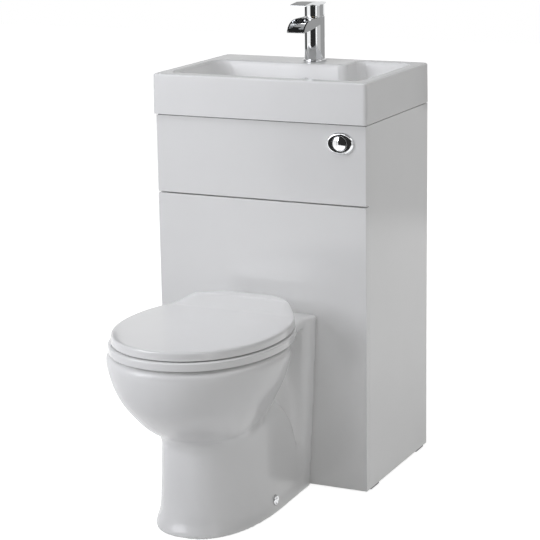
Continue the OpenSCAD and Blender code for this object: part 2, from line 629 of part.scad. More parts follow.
module flush_valve_body() color("deepskyblue") difference() {
  union() {
    cyl_z(valve_x, tank_yc, floor_in, floor_in + 5, 36);
    cyl_z(valve_x, tank_yc, shelf_z - 34, seat_z, 23.5);
    cyl_z(valve_x, tank_yc, seat_z - 6, seat_z, 30);
    for (a = [45 : 90 : 315]) rotate_about(valve_x, tank_yc, a)
      box(valve_x + 31, valve_x + 36, tank_yc - 4, tank_yc + 4, floor_in, cage_z + 5);
    cyl_z(valve_x, tank_yc, cage_z, cage_z + 7, 36);
    tube_z(valve_x, tank_yc, cage_z + 6, rod_top - 26, 14, 9);
    cyl_z(valve_x, tank_yc, seat_z + 100, seat_z + 106, 14);
    // overflow tube and the arm that holds the bellows
    cyl_z(valve_x - 50, tank_yc, floor_in, floor_in + 200, 12);
    box(valve_x - 50, valve_x - 20, tank_yc - 9, tank_yc + 9, floor_in, floor_in + 5);
    box(valve_x + 12, gland_x, tank_yc - 6, tank_yc + 6, rod_top - 36, rod_top - 28);
    cyl_z(gland_x, tank_yc, rod_top - 36, rod_top + 34, 11);
  }
  cyl_z(valve_x, tank_yc, shelf_z - 35, seat_z + 1, 19);
  cyl_z(valve_x, tank_yc, seat_z + 50, seat_z + 120, 4 + run_fit);
  cyl_z(valve_x - 50, tank_yc, floor_in + 6, floor_in + 201, 10);
  cyl_z(gland_x, tank_yc, rod_top + 20, rod_top + 35, 3.3);
}
module flush_valve_piston() color("white") {
  cyl_z(valve_x, tank_yc, seat_z + 3, seat_z + 7, 26);
  cyl_z(valve_x, tank_yc, seat_z + 6, rod_top - 40, 4);
  cyl_z(valve_x, tank_yc, seat_z + 6, seat_z + 26, 12);
}
module flush_seal() color("dimgray") tube_z(valve_x, tank_yc, seat_z + 0.2, seat_z + 3, 26, 17);
arm_z = floor_in + 205;
module inlet_valve() color("white") difference() {
  union() {
    cyl_z(inlet_x, tank_yc, floor_in, floor_in + 6, 20);
    cyl_z(inlet_x, tank_yc, shelf_z - 42, floor_in + 1, 10);
    hex_z(inlet_x, tank_yc, shelf_z - 12, shelf_z, 18, 9.5);
    cyl_z(inlet_x, tank_yc, floor_in + 5, arm_z - 10, 9);
    cyl_z(inlet_x, tank_yc, arm_z - 45, arm_z - 10, 16);
    for (s = [-1, 1])
      box(inlet_x - 6, inlet_x + 6, tank_yc + s * 9 - 2, tank_yc + s * 9 + 2, arm_z - 12, arm_z + 7);
    cyl_y(inlet_x, tank_yc - 13, tank_yc + 13, arm_z, 2.5);
  }
  cyl_z(inlet_x, tank_yc, shelf_z - 43, arm_z - 30, 6);
}
// Arm drawn where it hangs in an empty tank, with its float below the valve's pivot
arm_len = valve_x - 85 - inlet_x;
module float_arm() color("orange") difference() {
  union() {
    box(inlet_x - 6, inlet_x + arm_len, tank_yc - 6.5, tank_yc + 6.5, arm_z - 4, arm_z + 4);
    cyl_y(inlet_x, tank_yc - 6.5, tank_yc + 6.5, arm_z, 6);
    box(inlet_x + 22, inlet_x + arm_len, tank_yc - 30, tank_yc + 30, arm_z - 60, arm_z - 3);
  }
  cyl_y(inlet_x, tank_yc - 8, tank_yc + 8, arm_z, 2.5 + run_fit);
  box(inlet_x + 25, inlet_x + arm_len - 3, tank_yc - 27, tank_yc + 27, arm_z - 62, arm_z - 7);
}
module inlet_hose() color("silver") {
  hose(bend([[inlet_x, tank_yc, shelf_z - 30], [inlet_x, tank_yc, shelf_z - 58],
    [inlet_x, tank_yc, shelf_z - 108], [-tail_x + 14, tank_yc - 10, shelf_z - 114],
    [-tail_x, inlet_y, shelf_z - 116], [-tail_x, inlet_y, tail_z1 - 50],
    [-tail_x, inlet_y, tail_z1 - 84]]), tail_r);
  hex_z(inlet_x, tank_yc, shelf_z - 50, shelf_z - 30, 14, 10);
  hex_z(inlet_x, tank_yc, shelf_z - 52, shelf_z - 49, 14, 4);
  difference() {
    cyl_z(-tail_x, inlet_y, tail_z1 - 100, tail_z1 - 82, 13);
    cyl_z(-tail_x, inlet_y, tail_z1 - 101, tail_z1 - 86, 9.3);
  }
}
module outlet_nut() color("gray") {
  hex_z(valve_x, tank_yc, shelf_z - 11, shelf_z, 34, 23.7);
  difference() {
    cyl_z(valve_x, tank_yc, shelf_z - 52, shelf_z - 17, 31);
    cyl_z(valve_x, tank_yc, shelf_z - 38, shelf_z - 16, 23.7);
    cyl_z(valve_x, tank_yc, shelf_z - 53, shelf_z - 30, 22.2);
  }
}
flush_r = 22;
module flush_pipe() color("white") difference() {
  union() {
    cyl_z(valve_x, tank_yc, inlet_z, shelf_z - 40, flush_r);
    translate([valve_x, tank_yc, inlet_z]) sphere(r = flush_r);
    cyl_y(0, pan_y1 - 22, tank_yc, inlet_z, flush_r);
  }
  cyl_z(valve_x, tank_yc, inlet_z, shelf_z - 39, flush_r - 2.5);
  translate([valve_x, tank_yc, inlet_z]) sphere(r = flush_r - 2.5);
  cyl_y(0, pan_y1 - 23, tank_yc, inlet_z, flush_r - 2.5);
}

// ---------- flush button ----------
module on_button() translate([button_x, face_y, button_z]) rotate([90, 0, 0]) children();
// Oval rings of the bezel: inset from its edge and height above the panel
bezel_rings = concat([[0, 0], [0, 1.2]],
  [for (a = [15 : 15 : 75]) [7 * (1 - cos(a)), 1.2 + (bezel_t - 1.4) * sin(a) / sin(75)]]);
module button_bezel() color("silver") on_button() difference() {
  loft([for (q = bezel_rings) [for (i = [0 : 47]) let (t = 7.5 * i)
    [(bezel_w / 2 - q[0]) * cos(t), (bezel_h / 2 - q[0]) * sin(t), q[1]]]]);
  translate([0, 0, -eps]) cylinder(r = button_r + 0.4, h = bezel_t + 1);
}
module button_sleeve() color("gray") on_button() {
  translate([0, 0, -sleeve_len]) difference() {
    cylinder(r = sleeve_r, h = sleeve_len);
    translate([0, 0, 3]) cylinder(r = button_r + 0.4, h = sleeve_len);
    translate([0, 0, -1]) cylinder(r = 3.2, h = 5);
  }
  translate([0, 0, -front_t - 7]) difference() {
    cylinder(r = 30, h = 7, $fn = 6);
    translate([0, 0, -eps]) cylinder(r = sleeve_r, h = 8);
  }
}
// The round button is split by an arc into a small and a large half
module split_disc(small) {
  if (small) intersection() {
    circle(r = button_r);
    translate([-30, 0]) circle(r = 24.4 - btn_gap);
  } else difference() {
    circle(r = button_r);
    translate([-30, 0]) circle(r = 24.4 + btn_gap);
  }
}
module button_half(small) on_button() {
  intersection() {
    translate([0, 0, bezel_t - btn_len]) linear_extrude(btn_len + 1) split_disc(small);
    union() {
      translate([0, 0, bezel_t - btn_len]) cylinder(r = button_r + 1, h = btn_len - 1);
      translate([0, 0, bezel_t - 1 - 60 + 2]) intersection() {
        sphere(r = 60, $fn = 96);
        cylinder(r = button_r + 1, h = 70);
      }
    }
  }
}
module full_flush_button() color("silver") button_half(false);
module half_flush_button() color("silver") button_half(true);
spring_z = bezel_t - btn_len;
module spring(x, r) on_button() translate([x, 0, 3 - sleeve_len]) difference() {
  cylinder(r = r, h = spring_z + sleeve_len - 3);
  translate([0, 0, -eps]) cylinder(r = r - 1, h = 60);
}
module full_flush_spring() color("gray") spring(5, 6.5);
module half_flush_spring() color("gray") spring(-10.5, 3.2);
module air_tube() color("dimgray") hose(bend([[button_x, face_y + sleeve_len - 2, button_z],
  [button_x, face_y + sleeve_len + 30, button_z], [button_x - 20, face_y + 130, button_z - 24],
  [120, tank_y0 - 40, 736], [gland_x + 10, tank_yc - 20, 738], [gland_x, tank_yc, 722],
  [gland_x, tank_yc, rod_top + 24]]), 3);

// ---------- pan ----------
// Rings of the bowl: height, half width, length in front of the bowl's centre. The
// numbers here are for a rim height of 384 and a half width of 178
bowl_rings = [[186, 70, 66], [206, 98, 104], [220, 112, 128], [236, 124, 149], [256, 137, 170],
  [276, 148, 189], [296, 157, 202], [320, 166, 211], [340, 172, 215], [356, 176, 217],
  [368, 178, 217], [376, 177, 213], [381, 174, 207], [384, 168, 199]];
function bz(z) = z * rim_z / 384;
function bx(x) = x * pan_hw / 178;
module pan_bowl() loft([for (r = bowl_rings)
  egg(bx(r[1]), pl(r[2]), pl(min(r[2], 165)), bowl_yc, bz(r[0]))]);
// U-shaped outline: round nose of length b in front of yc, straight sides, back at yr
function u_ring(a, b, yc, yr, z, rr = 10, n = 2.3) = concat(
  [for (i = [0 : 20]) let (t = 180 + 9 * i) [a * sgn(cos(t)) * pow(abs(cos(t)), 2 / n),
    yc - b * pow(abs(sin(t)), 2 / n), z]],
  [for (i = [0 : 4]) let (t = 22.5 * i) [a - rr + rr * cos(t), yr - rr + rr * sin(t), z]],
  [for (i = [0 : 4]) let (t = 22.5 * i) [rr - a - rr * sin(t), yr - rr + rr * cos(t), z]]);
// Rings of the pedestal: height, inset of the sides, of the nose and of the back
ped_rings = [[0, 1, 2, 44], [3, 0, 0, 44], [14, 2, 9, 44], [32, 3.5, 17, 45], [60, 4, 21, 50],
  [110, 4.5, 22, 62], [160, 5, 22, 76], [190, 7, 24, 92], [212, 11, 28, 110], [232, 19, 36, 132],
  [248, 31, 50, 152], [258, 46, 70, 168]];
foot_yc = py(172);
foot_b = foot_len - pl(172);
module pan_pedestal() loft([for (r = ped_rings)
  u_ring(foot_hw - r[1], foot_b - r[2], foot_yc, pan_y1 - r[3], r[0], 14)]);
// Outline with a round front and a square back
function slab(a, y0, y1, z, r) = concat(
  [for (i = [0 : 6]) let (t = 180 + 15 * i) [r - a + r * cos(t), y0 + r + r * sin(t), z]],
  [for (i = [0 : 6]) let (t = 270 + 15 * i) [a - r + r * cos(t), y0 + r + r * sin(t), z]],
  [[a, y1, z], [-a, y1, z]]);
flange_hw = foot_hw - 1;
function fw(z) = flange_hw + (z < 175 ? 9 * z / 175 : 9 + 8 * (z - 175) / 216);
deck_hw = fw(deck_z) - 9;
deck_edge = [[deck_z - 4, 0], [deck_z - 1.2, 1.2], [deck_z, 4]];
module pan_flange() loft([for (q = concat([[0, 0], [90, 0], [175, 0], [280, 0]], deck_edge))
  slab(fw(q[0]) - q[1], pan_y1 - flange_t + q[1], pan_y1, q[0], 10 + 16 * q[0] / deck_z)]);
module pan_deck()
  loft([for (q = concat([[deck_z - 18, 3], [deck_z - 15, 0.5], [deck_z - 12, 0]], deck_edge))
    slab(deck_hw - q[1], deck_front + q[1], pan_y1, q[0], 8)]);
module pan_neck()
  loft([for (q = [[rim_z - 16, 3], [rim_z - 13, 0.5], [rim_z - 10, 0], [rim_z - 3, 0], [rim_z, 3]])
    slab(deck_hw - q[1], py(200), pan_y1, q[0], 8)]);
spine = [[0, 92], [150, 90], [220, 84], [290, 62], [340, 47], [deck_z - 8, 47]];
module pan_spine() loft([for (q = spine) slab(q[1], py(180), pan_y1, q[0], 20)]);
// Inside of the bowl: height, half width, front, back and the centre's place
bowl_in = [[118, 30, 36, 26, 252], [126, 40, 46, 34, 254], [150, 50, 60, 44, 258],
  [190, 66, 84, 60, 266], [230, 90, 116, 86, 276], [270, 112, 146, 108, 283],
  [310, 128, 166, 122, 286], [340, 138, 178, 128, 286], [352, 138, 178, 126, 286],
  [358, 126, 164, 114, 286], [364, 118, 154, 106, 286], [380, 116, 152, 104, 286],
  [384.1, 119, 156, 107, 286], [386, 119, 156, 107, 286]];
module pan_inside() loft([for (r = bowl_in)
  egg(bx(r[1]), pl(r[2]), pl(r[3]), py(r[4]), bz(r[0]), seg = 40)]);
// Trapway: place from the panel and height
trap_path = [for (q = [[250, 146], [220, 146], [188, 160], [162, 196], [140, 226],
  [114, 236], [86, 226], [62, 204], [36, 190], [10, soil_z + 1]]) [0, py(q[0]), q[1]]];
spig_y1 = pan_y1 + 50;
module stud_bores() both() cyl_z(hinge_x, hinge_y, deck_z - 40, deck_z + 1, pin_r + 1);
module pan() color("white") difference() {
  union() {
    pan_bowl();
    pan_pedestal();
    pan_flange();
    pan_deck();
    pan_neck();
    pan_spine();
    cyl_y(0, pan_y1 - 10, spig_y1, soil_z, spigot_r);
  }
  pan_inside();
  hose(trap_path, 27, 12);
  cyl_y(0, py(36), spig_y1 + 1, soil_z, spigot_r - 7);
  // flush water inlet, up to the rim's channel
  cyl_y(0, pan_y1 - 34, pan_y1 + 1, inlet_z, 28);
  cyl_y(0, py(188), pan_y1, inlet_z, 19);
  stud_bores();
  // hollow foot, open at the floor, with the holes for the side screws
  loft([for (q = [[-1, 15], [60, 17], [88, 40]])
    u_ring(foot_hw - q[1], foot_b - q[1] - 18, foot_yc, pan_y1 - 16, q[0], 8)]);
  both() cyl_x(70, cap_x + 20, cap_y, cap_z, 5);
  both() cyl_x(cap_x - 3, cap_x + 20, cap_y, cap_z, 11.5);
}
module pan_seals() color("dimgray") {
  tube_y(0, pan_y1 - 33, pan_y1 - 2, inlet_z, 28 - 0.05, flush_r + 0.05);
  tube_y(0, pan_y1 + 26, pan_y1 + 46, soil_z, spigot_r + 4, spigot_r + 0.05);
}
module pan_connector() color("white") {
  difference() {
    cyl_y(0, pan_y1 + 22, pan_y1 + 60, soil_z, spigot_r + 8);
    cyl_y(0, pan_y1 + 21, pan_y1 + 54, soil_z, spigot_r + 4.05);
    cyl_y(0, pan_y1 + 50, pan_y1 + 61, soil_z, soil_r - 3.5);
  }
  tube_y(0, pan_y1 + 59, wall_y - 1, soil_z, soil_r, soil_r - 3.5);
}
brk_x1 = foot_hw - 19;
module floor_brackets() color("white") both() difference() {
  union() {
    box(brk_x1 - 30, brk_x1, cap_y - 18, cap_y + 18, 0, 5);
    box(brk_x1 - 14, brk_x1, cap_y - 18, cap_y + 18, 0, 46);
  }
  cyl_x(brk_x1 - 40, brk_x1 + 1, cap_y, cap_z, 3);
  cyl_z(brk_x1 - 22, cap_y, -1, 6, 3.2);
}
module side_fixings() color("silver") both() {
  cyl_x(brk_x1 - 16, cap_x - 2, cap_y, cap_z, 3);
  difference() {
    cyl_x(cap_x - 3, cap_x + 1.5, cap_y, cap_z, 10.5);
    cyl_x(cap_x, cap_x + 2, cap_y, cap_z, 7);
  }
  cyl_x(cap_x - 0.5, cap_x + 1, cap_y, cap_z, 6);
}

// ---------- seat and lid ----------
seat_seg = 56;
// Plan outline of a ring, cut off straight at the rear
function plan(a, b, c, yc, rear) =
  [for (p = egg(a, b, c, yc, 0, seg = seat_seg)) [p[0], min(p[1], rear)]];
seat_out = plan(seat_hw, seat_len, pl(220), seat_yc, seat_rear);
seat_in = plan(seat_hw - 72, pl(148), pl(118), seat_yc - pl(20), seat_rear);
// Height above the seat's underside, distance in from an edge, and 0 for the outer
// edge or 1 for the inner
seat_prof = [[0, 3, 0], [3, 0, 0], [seat_t - 10, 0.4, 0], [seat_t - 6, 1.8, 0],
  [seat_t - 2.5, 4.2, 0], [seat_t - 0.7, 6.8, 0], [seat_t, 10, 0], [seat_t, 16, 1],
  [seat_t - 1.5, 6, 1], [seat_t - 6, 1, 1], [4, 0, 1], [0, 3, 1]];
function seat_point(i, q) = let (d = seat_in[i] - seat_out[i], u = d / norm(d))
  q[2] == 0 ? seat_out[i] + u * q[1] : seat_in[i] - u * q[1];
module seat_lug(x0, x1) {
  cyl_x(x0, x1, hinge_y, hinge_z, 8);
  box(x0, x1, seat_rear - 8, hinge_y - 2, seat_z0 + 9, seat_z1);
  box(x0, x1, hinge_y - 8, hinge_y + 2, seat_z0 + 9, hinge_z);
}
module seat() color("white") difference() {
  union() {
    loft([for (q = seat_prof) [for (i = [0 : seat_seg - 1]) let (p = seat_point(i, q))
      [p[0], p[1], seat_z0 + q[0]]]], closed = true);
    both() seat_lug(hinge_x - 20, hinge_x - 7);
  }
  both() cyl_x(hinge_x - 21, hinge_x - 6, hinge_y, hinge_z, pin_r + run_fit);
}
module pads(x, y, z, w, l, h) both() box(x - w / 2, x + w / 2, y - l / 2, y + l / 2, z, z + h);
module seat_buffers() color("gainsboro") {
  pads(seat_hw - 34, seat_yc - pl(10), rim_z + 0.15, 12, 28, buffer_t - 0.15);
  pads(seat_hw - 92, seat_yc - pl(162), rim_z + 0.15, 12, 20, buffer_t - 0.15);
}
module lid_buffers() color("gainsboro") {
  pads(seat_hw - 50, seat_yc - pl(20), seat_z1 + 0.15, 10, 20, buffer_t + lid_hollow - 0.15);
  pads(seat_hw - 100, seat_yc - pl(160), seat_z1 + 0.15, 10, 14, buffer_t + lid_hollow - 0.15);
}
lid_hollow = 8;
lid_hw = seat_hw - lid_inset;
lid_out = plan(lid_hw, seat_len - lid_inset - 1, pl(229), seat_yc, lid_rear);
function lid_top(x, y, k) = lid_t + 5 * (1 - k * k)
  + lid_hump * smooth((y - hinge_y + 68) / 46) * smooth((150 - abs(x)) / 60);
// Inset of each ring and its share of the lid's height there
lid_prof = concat([[1.5, 0], [0, 0.1], [0.8, 0.45], [2, 0.8], [3.6, 0.95]],
  [for (inset = [7, 13, 20, 28, 37, 48, 62, 80, 102, 130, 150]) [inset, 1]]);
function lid_ring(inset, f, z0 = 0) = [for (p = lid_out) let (k = 1 - inset / lid_hw, x = p[0] * k,
  y = seat_yc + (p[1] - seat_yc) * k) [x, y, lid_z0 + z0 + lid_top(x, y, k) * f]];
module lid_shell() {
  rings = concat([lid_ring(16, 0, lid_hollow), lid_ring(14, 0)],
    [for (q = lid_prof) lid_ring(q[0], q[1])]);
  n = seat_seg;
  k = len(rings);
  peak = [0, seat_yc, lid_z0 + lid_top(0, seat_yc, 0)];
  polyhedron(points = concat(flat(rings), [peak]), convexity = 6, faces = concat(
    [[for (i = [0 : n - 1]) i]],
    [for (j = [0 : k - 2], i = [0 : n - 1]) [j * n + i, (j + 1) * n + i, (j + 1) * n + (i + 1) % n]],
    [for (j = [0 : k - 2], i = [0 : n - 1]) [j * n + i, (j + 1) * n + (i + 1) % n, j * n + (i + 1) % n]],
    [for (i = [0 : n - 1]) [(k - 1) * n + i, k * n, (k - 1) * n + (i + 1) % n]]));
}
module lid() color("white") difference() {
  union() {
    difference() {
      lid_shell();
      both() box(hinge_x - 23, hinge_x + 20, hinge_y - 16, lid_rear + 5, lid_z0 - 1, hinge_z + 11);
    }
    both() {
      cyl_x(hinge_x + 8, hinge_x + 17, hinge_y, hinge_z, 8);
      box(hinge_x + 8, hinge_x + 17, hinge_y - 8, hinge_y + 8, hinge_z, hinge_z + 13);
    }
  }
  both() cyl_x(hinge_x + 7, hinge_x + 18, hinge_y, hinge_z, pin_r + run_fit);
}
module hinge_posts() color("silver") both() {
  cyl_x(hinge_x - 19, hinge_x + 16, hinge_y, hinge_z, pin_r);
  cyl_x(hinge_x - 6.5, hinge_x + 7.5, hinge_y, hinge_z, 8.5);
  box(hinge_x - 6.5, hinge_x + 7.5, hinge_y - 8.5, hinge_y + 8.5, deck_z + 3, hinge_z);
  cyl_z(hinge_x, hinge_y, deck_z, deck_z + 4, 12);
  cyl_z(hinge_x, hinge_y, rim_z - 34, deck_z + 1, pin_r);
}
module hinge_nuts() color("white") both() {
  hex_z(hinge_x, hinge_y, rim_z - 26, rim_z - 16, 11, pin_r);
}

side_panel_left();
side_panel_right();
upper_front_panel();
lower_front_panel();
top_rear_rail();
middle_front_rail();
base_front_rail();
cistern_shelf();
wall_brackets();
cam_fasteners();
panel_clips();
glides();
basin_seal();
basin();
overflow_trim();
waste_flange();
waste_plug();
waste_nut();
trap_body();
trap_cup();
trap_nuts();
trap_outlet_pipe();
tap_body();
tap_cartridge();
tap_spindle();
tap_lever();
tap_stud();
tap_backplate();
tap_nut();
hot_tail();
cold_tail();
tail_clips();
cistern_tank();
cistern_lid();
flush_valve_body();
flush_valve_piston();
flush_seal();
inlet_valve();
float_arm();
inlet_hose();
outlet_nut();
flush_pipe();
button_bezel();
button_sleeve();
full_flush_button();
half_flush_button();
full_flush_spring();
half_flush_spring();
air_tube();
pan();
pan_seals();
pan_connector();
floor_brackets();
side_fixings();
seat();
seat_buffers();
lid();
lid_buffers();
hinge_posts();
hinge_nuts();
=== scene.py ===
# %% [markdown]
# # A toilet and basin in one cabinet
#
# This unit saves floor space: a narrow white cabinet hides the toilet's cistern and
# carries a ceramic basin with a waterfall tap, and the pan stands against its front.
# The hard parts of the lesson are white on white, soft fired-clay edges next to crisp
# lacquered boards, and a little chrome that has to look like chrome.
#
# The shapes that hold the object together come ready made, as a frame of solids. The
# first cell loads it. Everything after that gives those solids their real surfaces, or
# puts a better mesh in a solid's place.

# %% Load the frame
import bmesh
import bpy
import json
import math
import numpy as np
from mathutils import Matrix, Vector


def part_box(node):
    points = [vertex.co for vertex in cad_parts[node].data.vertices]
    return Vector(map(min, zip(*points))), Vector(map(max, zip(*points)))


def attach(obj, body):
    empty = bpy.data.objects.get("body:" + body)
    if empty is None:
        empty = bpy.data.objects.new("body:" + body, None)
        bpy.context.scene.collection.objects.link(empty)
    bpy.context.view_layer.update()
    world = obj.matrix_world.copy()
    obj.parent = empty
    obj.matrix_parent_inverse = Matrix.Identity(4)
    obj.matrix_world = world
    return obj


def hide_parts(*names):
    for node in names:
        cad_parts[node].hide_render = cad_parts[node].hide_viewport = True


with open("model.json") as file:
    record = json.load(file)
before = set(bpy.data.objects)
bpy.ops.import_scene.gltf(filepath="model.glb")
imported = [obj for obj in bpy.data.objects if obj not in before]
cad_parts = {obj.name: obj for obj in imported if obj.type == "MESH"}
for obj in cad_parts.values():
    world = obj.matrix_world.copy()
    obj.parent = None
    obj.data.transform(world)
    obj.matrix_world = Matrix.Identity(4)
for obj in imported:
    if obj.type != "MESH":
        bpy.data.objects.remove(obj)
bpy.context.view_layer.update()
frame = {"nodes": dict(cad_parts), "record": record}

MM = 0.001
nodes = frame["nodes"]
body_of_node = {}
for body_name, members in frame["record"]["behaviour"]["bodies"].items():
    for member in members:
        body_of_node[member] = body_name
slot_of_node = {s["node"]: s["material_slot"] for s in frame["record"]["subparts"]}
scene_collection = bpy.context.scene.collection

# %% [markdown]
# ## Looking from where the photographer stood
#
# A product picture is taken from a few metres away with a long lens, so that upright
# edges stay nearly parallel. The camera's place was worked out from the box edges of
# the cabinet and basin. It is kept as an angle round the object, an angle above the
# floor and a small tilt of the camera itself, because those are the words in which one
# would describe the shot.

# %% Camera
camera_place = Vector((1.7432, -3.5304, 1.4336))
camera_round = math.radians(25.55)
camera_above = math.radians(13.461)
camera_tilt = math.radians(-0.907)

backwards = Vector((
    math.sin(camera_round) * math.cos(camera_above),
    -math.cos(camera_round) * math.cos(camera_above),
    math.sin(camera_above),
))
level_right = Vector((math.cos(camera_round), math.sin(camera_round), 0))
level_up = backwards.cross(level_right)
right = level_right * math.cos(camera_tilt) + level_up * math.sin(camera_tilt)
up = level_up * math.cos(camera_tilt) - level_right * math.sin(camera_tilt)

lens = bpy.data.cameras.new("camera")
lens.lens = 126.65
lens.sensor_width = 36
camera = bpy.data.objects.new("camera", lens)
camera.matrix_world = (Matrix.Translation(camera_place)
                       @ Matrix((right, up, backwards)).transposed().to_4x4())
scene_collection.objects.link(camera)
bpy.context.scene.camera = camera
print("camera", [round(v, 2) for v in camera_place], "lens", lens.lens, "mm")

# %% [markdown]
# ## Finishes
#
# Every finish reads Object coordinates. All pieces stand at the origin, so these are
# metres in the room, and a noise of scale 200 has grains about 5 mm across. A real
# white surface is never one flat colour: lacquer has a faint orange peel, fired glaze
# has slow waves, moulded plastic a fine grain. One helper puts a node into any tree, and
# a second one builds the same small tree for all finishes, so that each finish only says
# how strong each effect is.

# %% Put a node into a tree
def put(tree, kind, properties=None, **inputs):
    """Adds a node to the tree of a material, a world or a geometry group.

    An input is named by its socket, or i0, i1 and so on by its place. It is given a
    number, a vector, a material or another node's socket."""
    node = tree.nodes.new(kind)
    for key, value in (properties or {}).items():
        setattr(node, key, value)
    for key, value in inputs.items():
        target = node.inputs[int(key[1:]) if key[1:].isdigit() else key.replace("_", " ")]
        if isinstance(value, bpy.types.NodeSocket):
            tree.links.new(value, target)
        else:
            target.default_value = value
    return node


def calc(tree, operation, *values):
    """A Math node; values are numbers or sockets."""
    return put(tree, "ShaderNodeMath", {"operation": operation},
               **{"i%d" % i: value for i, value in enumerate(values)}).outputs[0]


def painted_tree(name):
    """A new material. Returns it, its tree and its Principled shader."""
    made = bpy.data.materials.new(name)
    made.use_nodes = True
    return made, made.node_tree, made.node_tree.nodes["Principled BSDF"]


# %% Finish helper
finishes = {}


def finish(slot, colour, roughness, metallic=0.0, coat=0.0, tint=0.02, tint_scale=9.0,
           peel=0.0, peel_scale=300.0, wave=0.0, wave_scale=10.0, rough_spread=0.04,
           sheen=0.0):
    """One finish: a colour that wanders a little, uneven gloss, fine and slow relief."""
    made, tree, shader = painted_tree(slot)
    for key, value in {"Metallic": metallic, "Coat Weight": coat, "Coat Roughness": 0.05,
                       "Sheen Weight": sheen}.items():
        shader.inputs[key].default_value = value
    place = put(tree, "ShaderNodeTexCoord").outputs["Object"]

    slow = put(tree, "ShaderNodeTexNoise", Vector=place, Scale=tint_scale, Detail=3)
    ramp = put(tree, "ShaderNodeValToRGB", Fac=slow.outputs["Fac"])
    for element, position, change in zip(ramp.color_ramp.elements, (0.3, 0.7),
                                         (1 - tint, 1 + tint * 0.4)):
        element.position = position
        element.color = (*[min(1, c * change) for c in colour], 1)
    tree.links.new(ramp.outputs["Color"], shader.inputs["Base Color"])

    gloss = put(tree, "ShaderNodeTexNoise", Vector=place, Scale=tint_scale * 3)
    uneven = put(tree, "ShaderNodeMapRange", Value=gloss.outputs["Fac"],
                 To_Min=max(0.0, roughness - rough_spread / 2), To_Max=roughness + rough_spread / 2)
    tree.links.new(uneven.outputs["Result"], shader.inputs["Roughness"])

    relief = shader.inputs["Normal"]
    for depth, scale in ((peel, peel_scale), (wave, wave_scale)):
        if depth:
            grain = put(tree, "ShaderNodeTexNoise", Vector=place, Scale=scale)
            bump = put(tree, "ShaderNodeBump", Strength=1.0, Distance=depth * MM,
                       Height=grain.outputs["Fac"])
            tree.links.new(bump.outputs["Normal"], relief)
            relief = bump.inputs["Normal"]
    finishes[slot] = made


# %% The finishes of this unit
finish("white_board", (0.86, 0.86, 0.855), 0.16, coat=0.25, peel=0.012, peel_scale=420, tint=0.01)
finish("carcass_board", (0.80, 0.79, 0.76), 0.42, peel=0.03, peel_scale=900, tint=0.03)
finish("ceramic", (0.88, 0.88, 0.876), 0.26, coat=0.1, wave=0.08, wave_scale=14, tint=0.012)
finish("seat_plastic", (0.88, 0.88, 0.875), 0.14, coat=0.2, wave=0.03, wave_scale=9, tint=0.008)
finish("chrome", (0.80, 0.81, 0.82), 0.05, metallic=1, tint=0.03, rough_spread=0.05)
finish("zinc_steel", (0.62, 0.63, 0.65), 0.36, metallic=1, tint=0.25, tint_scale=60,
       rough_spread=0.2)
finish("spring_steel", (0.52, 0.53, 0.55), 0.28, metallic=1, tint=0.1, tint_scale=80)
finish("brass", (0.74, 0.56, 0.27), 0.3, metallic=1, tint=0.12, tint_scale=70, rough_spread=0.15)
finish("braided_hose", (0.62, 0.63, 0.65), 0.3, metallic=1, tint=0.2, tint_scale=200)
finish("clip_plastic", (0.36, 0.36, 0.37), 0.42, peel=0.05, peel_scale=1400, tint=0.06)
finish("glide_plastic", (0.07, 0.07, 0.07), 0.5, peel=0.05, peel_scale=1400, tint=0.1)
# Sealant is a real part, but its dark grey is painted shade: under the basin it makes the gap read
# as a shadow line.
finish("sealant", (0.16, 0.16, 0.16), 0.35, wave=0.1, wave_scale=60, tint=0.1)
finish("white_plastic", (0.78, 0.78, 0.77), 0.28, peel=0.03, peel_scale=1100, tint=0.03)
finish("tank_plastic", (0.76, 0.76, 0.75), 0.45, peel=0.06, peel_scale=700, tint=0.03)
finish("valve_plastic", (0.05, 0.17, 0.42), 0.32, peel=0.03, peel_scale=1100, tint=0.1)
finish("float_plastic", (0.72, 0.2, 0.04), 0.34, peel=0.03, peel_scale=1100, tint=0.1)
finish("cartridge", (0.26, 0.28, 0.33), 0.4, peel=0.03, peel_scale=1400, tint=0.1)
finish("seal_rubber", (0.025, 0.025, 0.025), 0.6, peel=0.06, peel_scale=900, tint=0.2, sheen=0.1)
finish("buffer_rubber", (0.7, 0.7, 0.68), 0.5, peel=0.04, peel_scale=1200, tint=0.04)
missing = sorted(set(slot_of_node.values()) - set(finishes))
print(len(finishes), "finishes; slots without one:", missing)


# %% Give every solid its finish
def dress(thing, node):
    """Puts the finish of a solid's slot on an object, in place of what it wears."""
    thing.data.materials.clear()
    thing.data.materials.append(finishes[slot_of_node[node]])


for node_name, solid in nodes.items():
    dress(solid, node_name)
print("dressed", len(nodes), "solids")

# %% [markdown]
# ## Boards
#
# The cabinet's boards are sheet material with a sprayed gloss coat. Sprayed edges are
# never knife sharp: a rounding of less than a millimetre catches the light and is what
# tells the eye where one board ends. The solids are right in every size, so each board
# is a copy of its solid with a bevel on its sharp edges.
#
# Modifiers do this work, and each is turned into plain mesh at once. A finished piece
# then rides on the body of the solid that it stands for.

# %% Modifiers into plain mesh
def bake_modifiers(thing):
    """Turns what the modifiers make into the object's own plain mesh."""
    seen = thing.evaluated_get(bpy.context.evaluated_depsgraph_get())
    mesh = bpy.data.meshes.new_from_object(seen)
    thing.modifiers.clear()
    old = thing.data
    thing.data = mesh
    if old.users == 0:
        bpy.data.meshes.remove(old)
    return thing


def shade_smooth(thing, angle):
    """Smooth shading that breaks at edges sharper than this and leaves large faces flat."""
    mesh = thing.data
    mesh.polygons.foreach_set("use_smooth", [True] * len(mesh.polygons))
    mesh.set_sharp_from_angle(angle=math.radians(angle))
    weigh = thing.modifiers.new("weigh", "WEIGHTED_NORMAL")
    weigh.keep_sharp = True
    return bake_modifiers(thing)


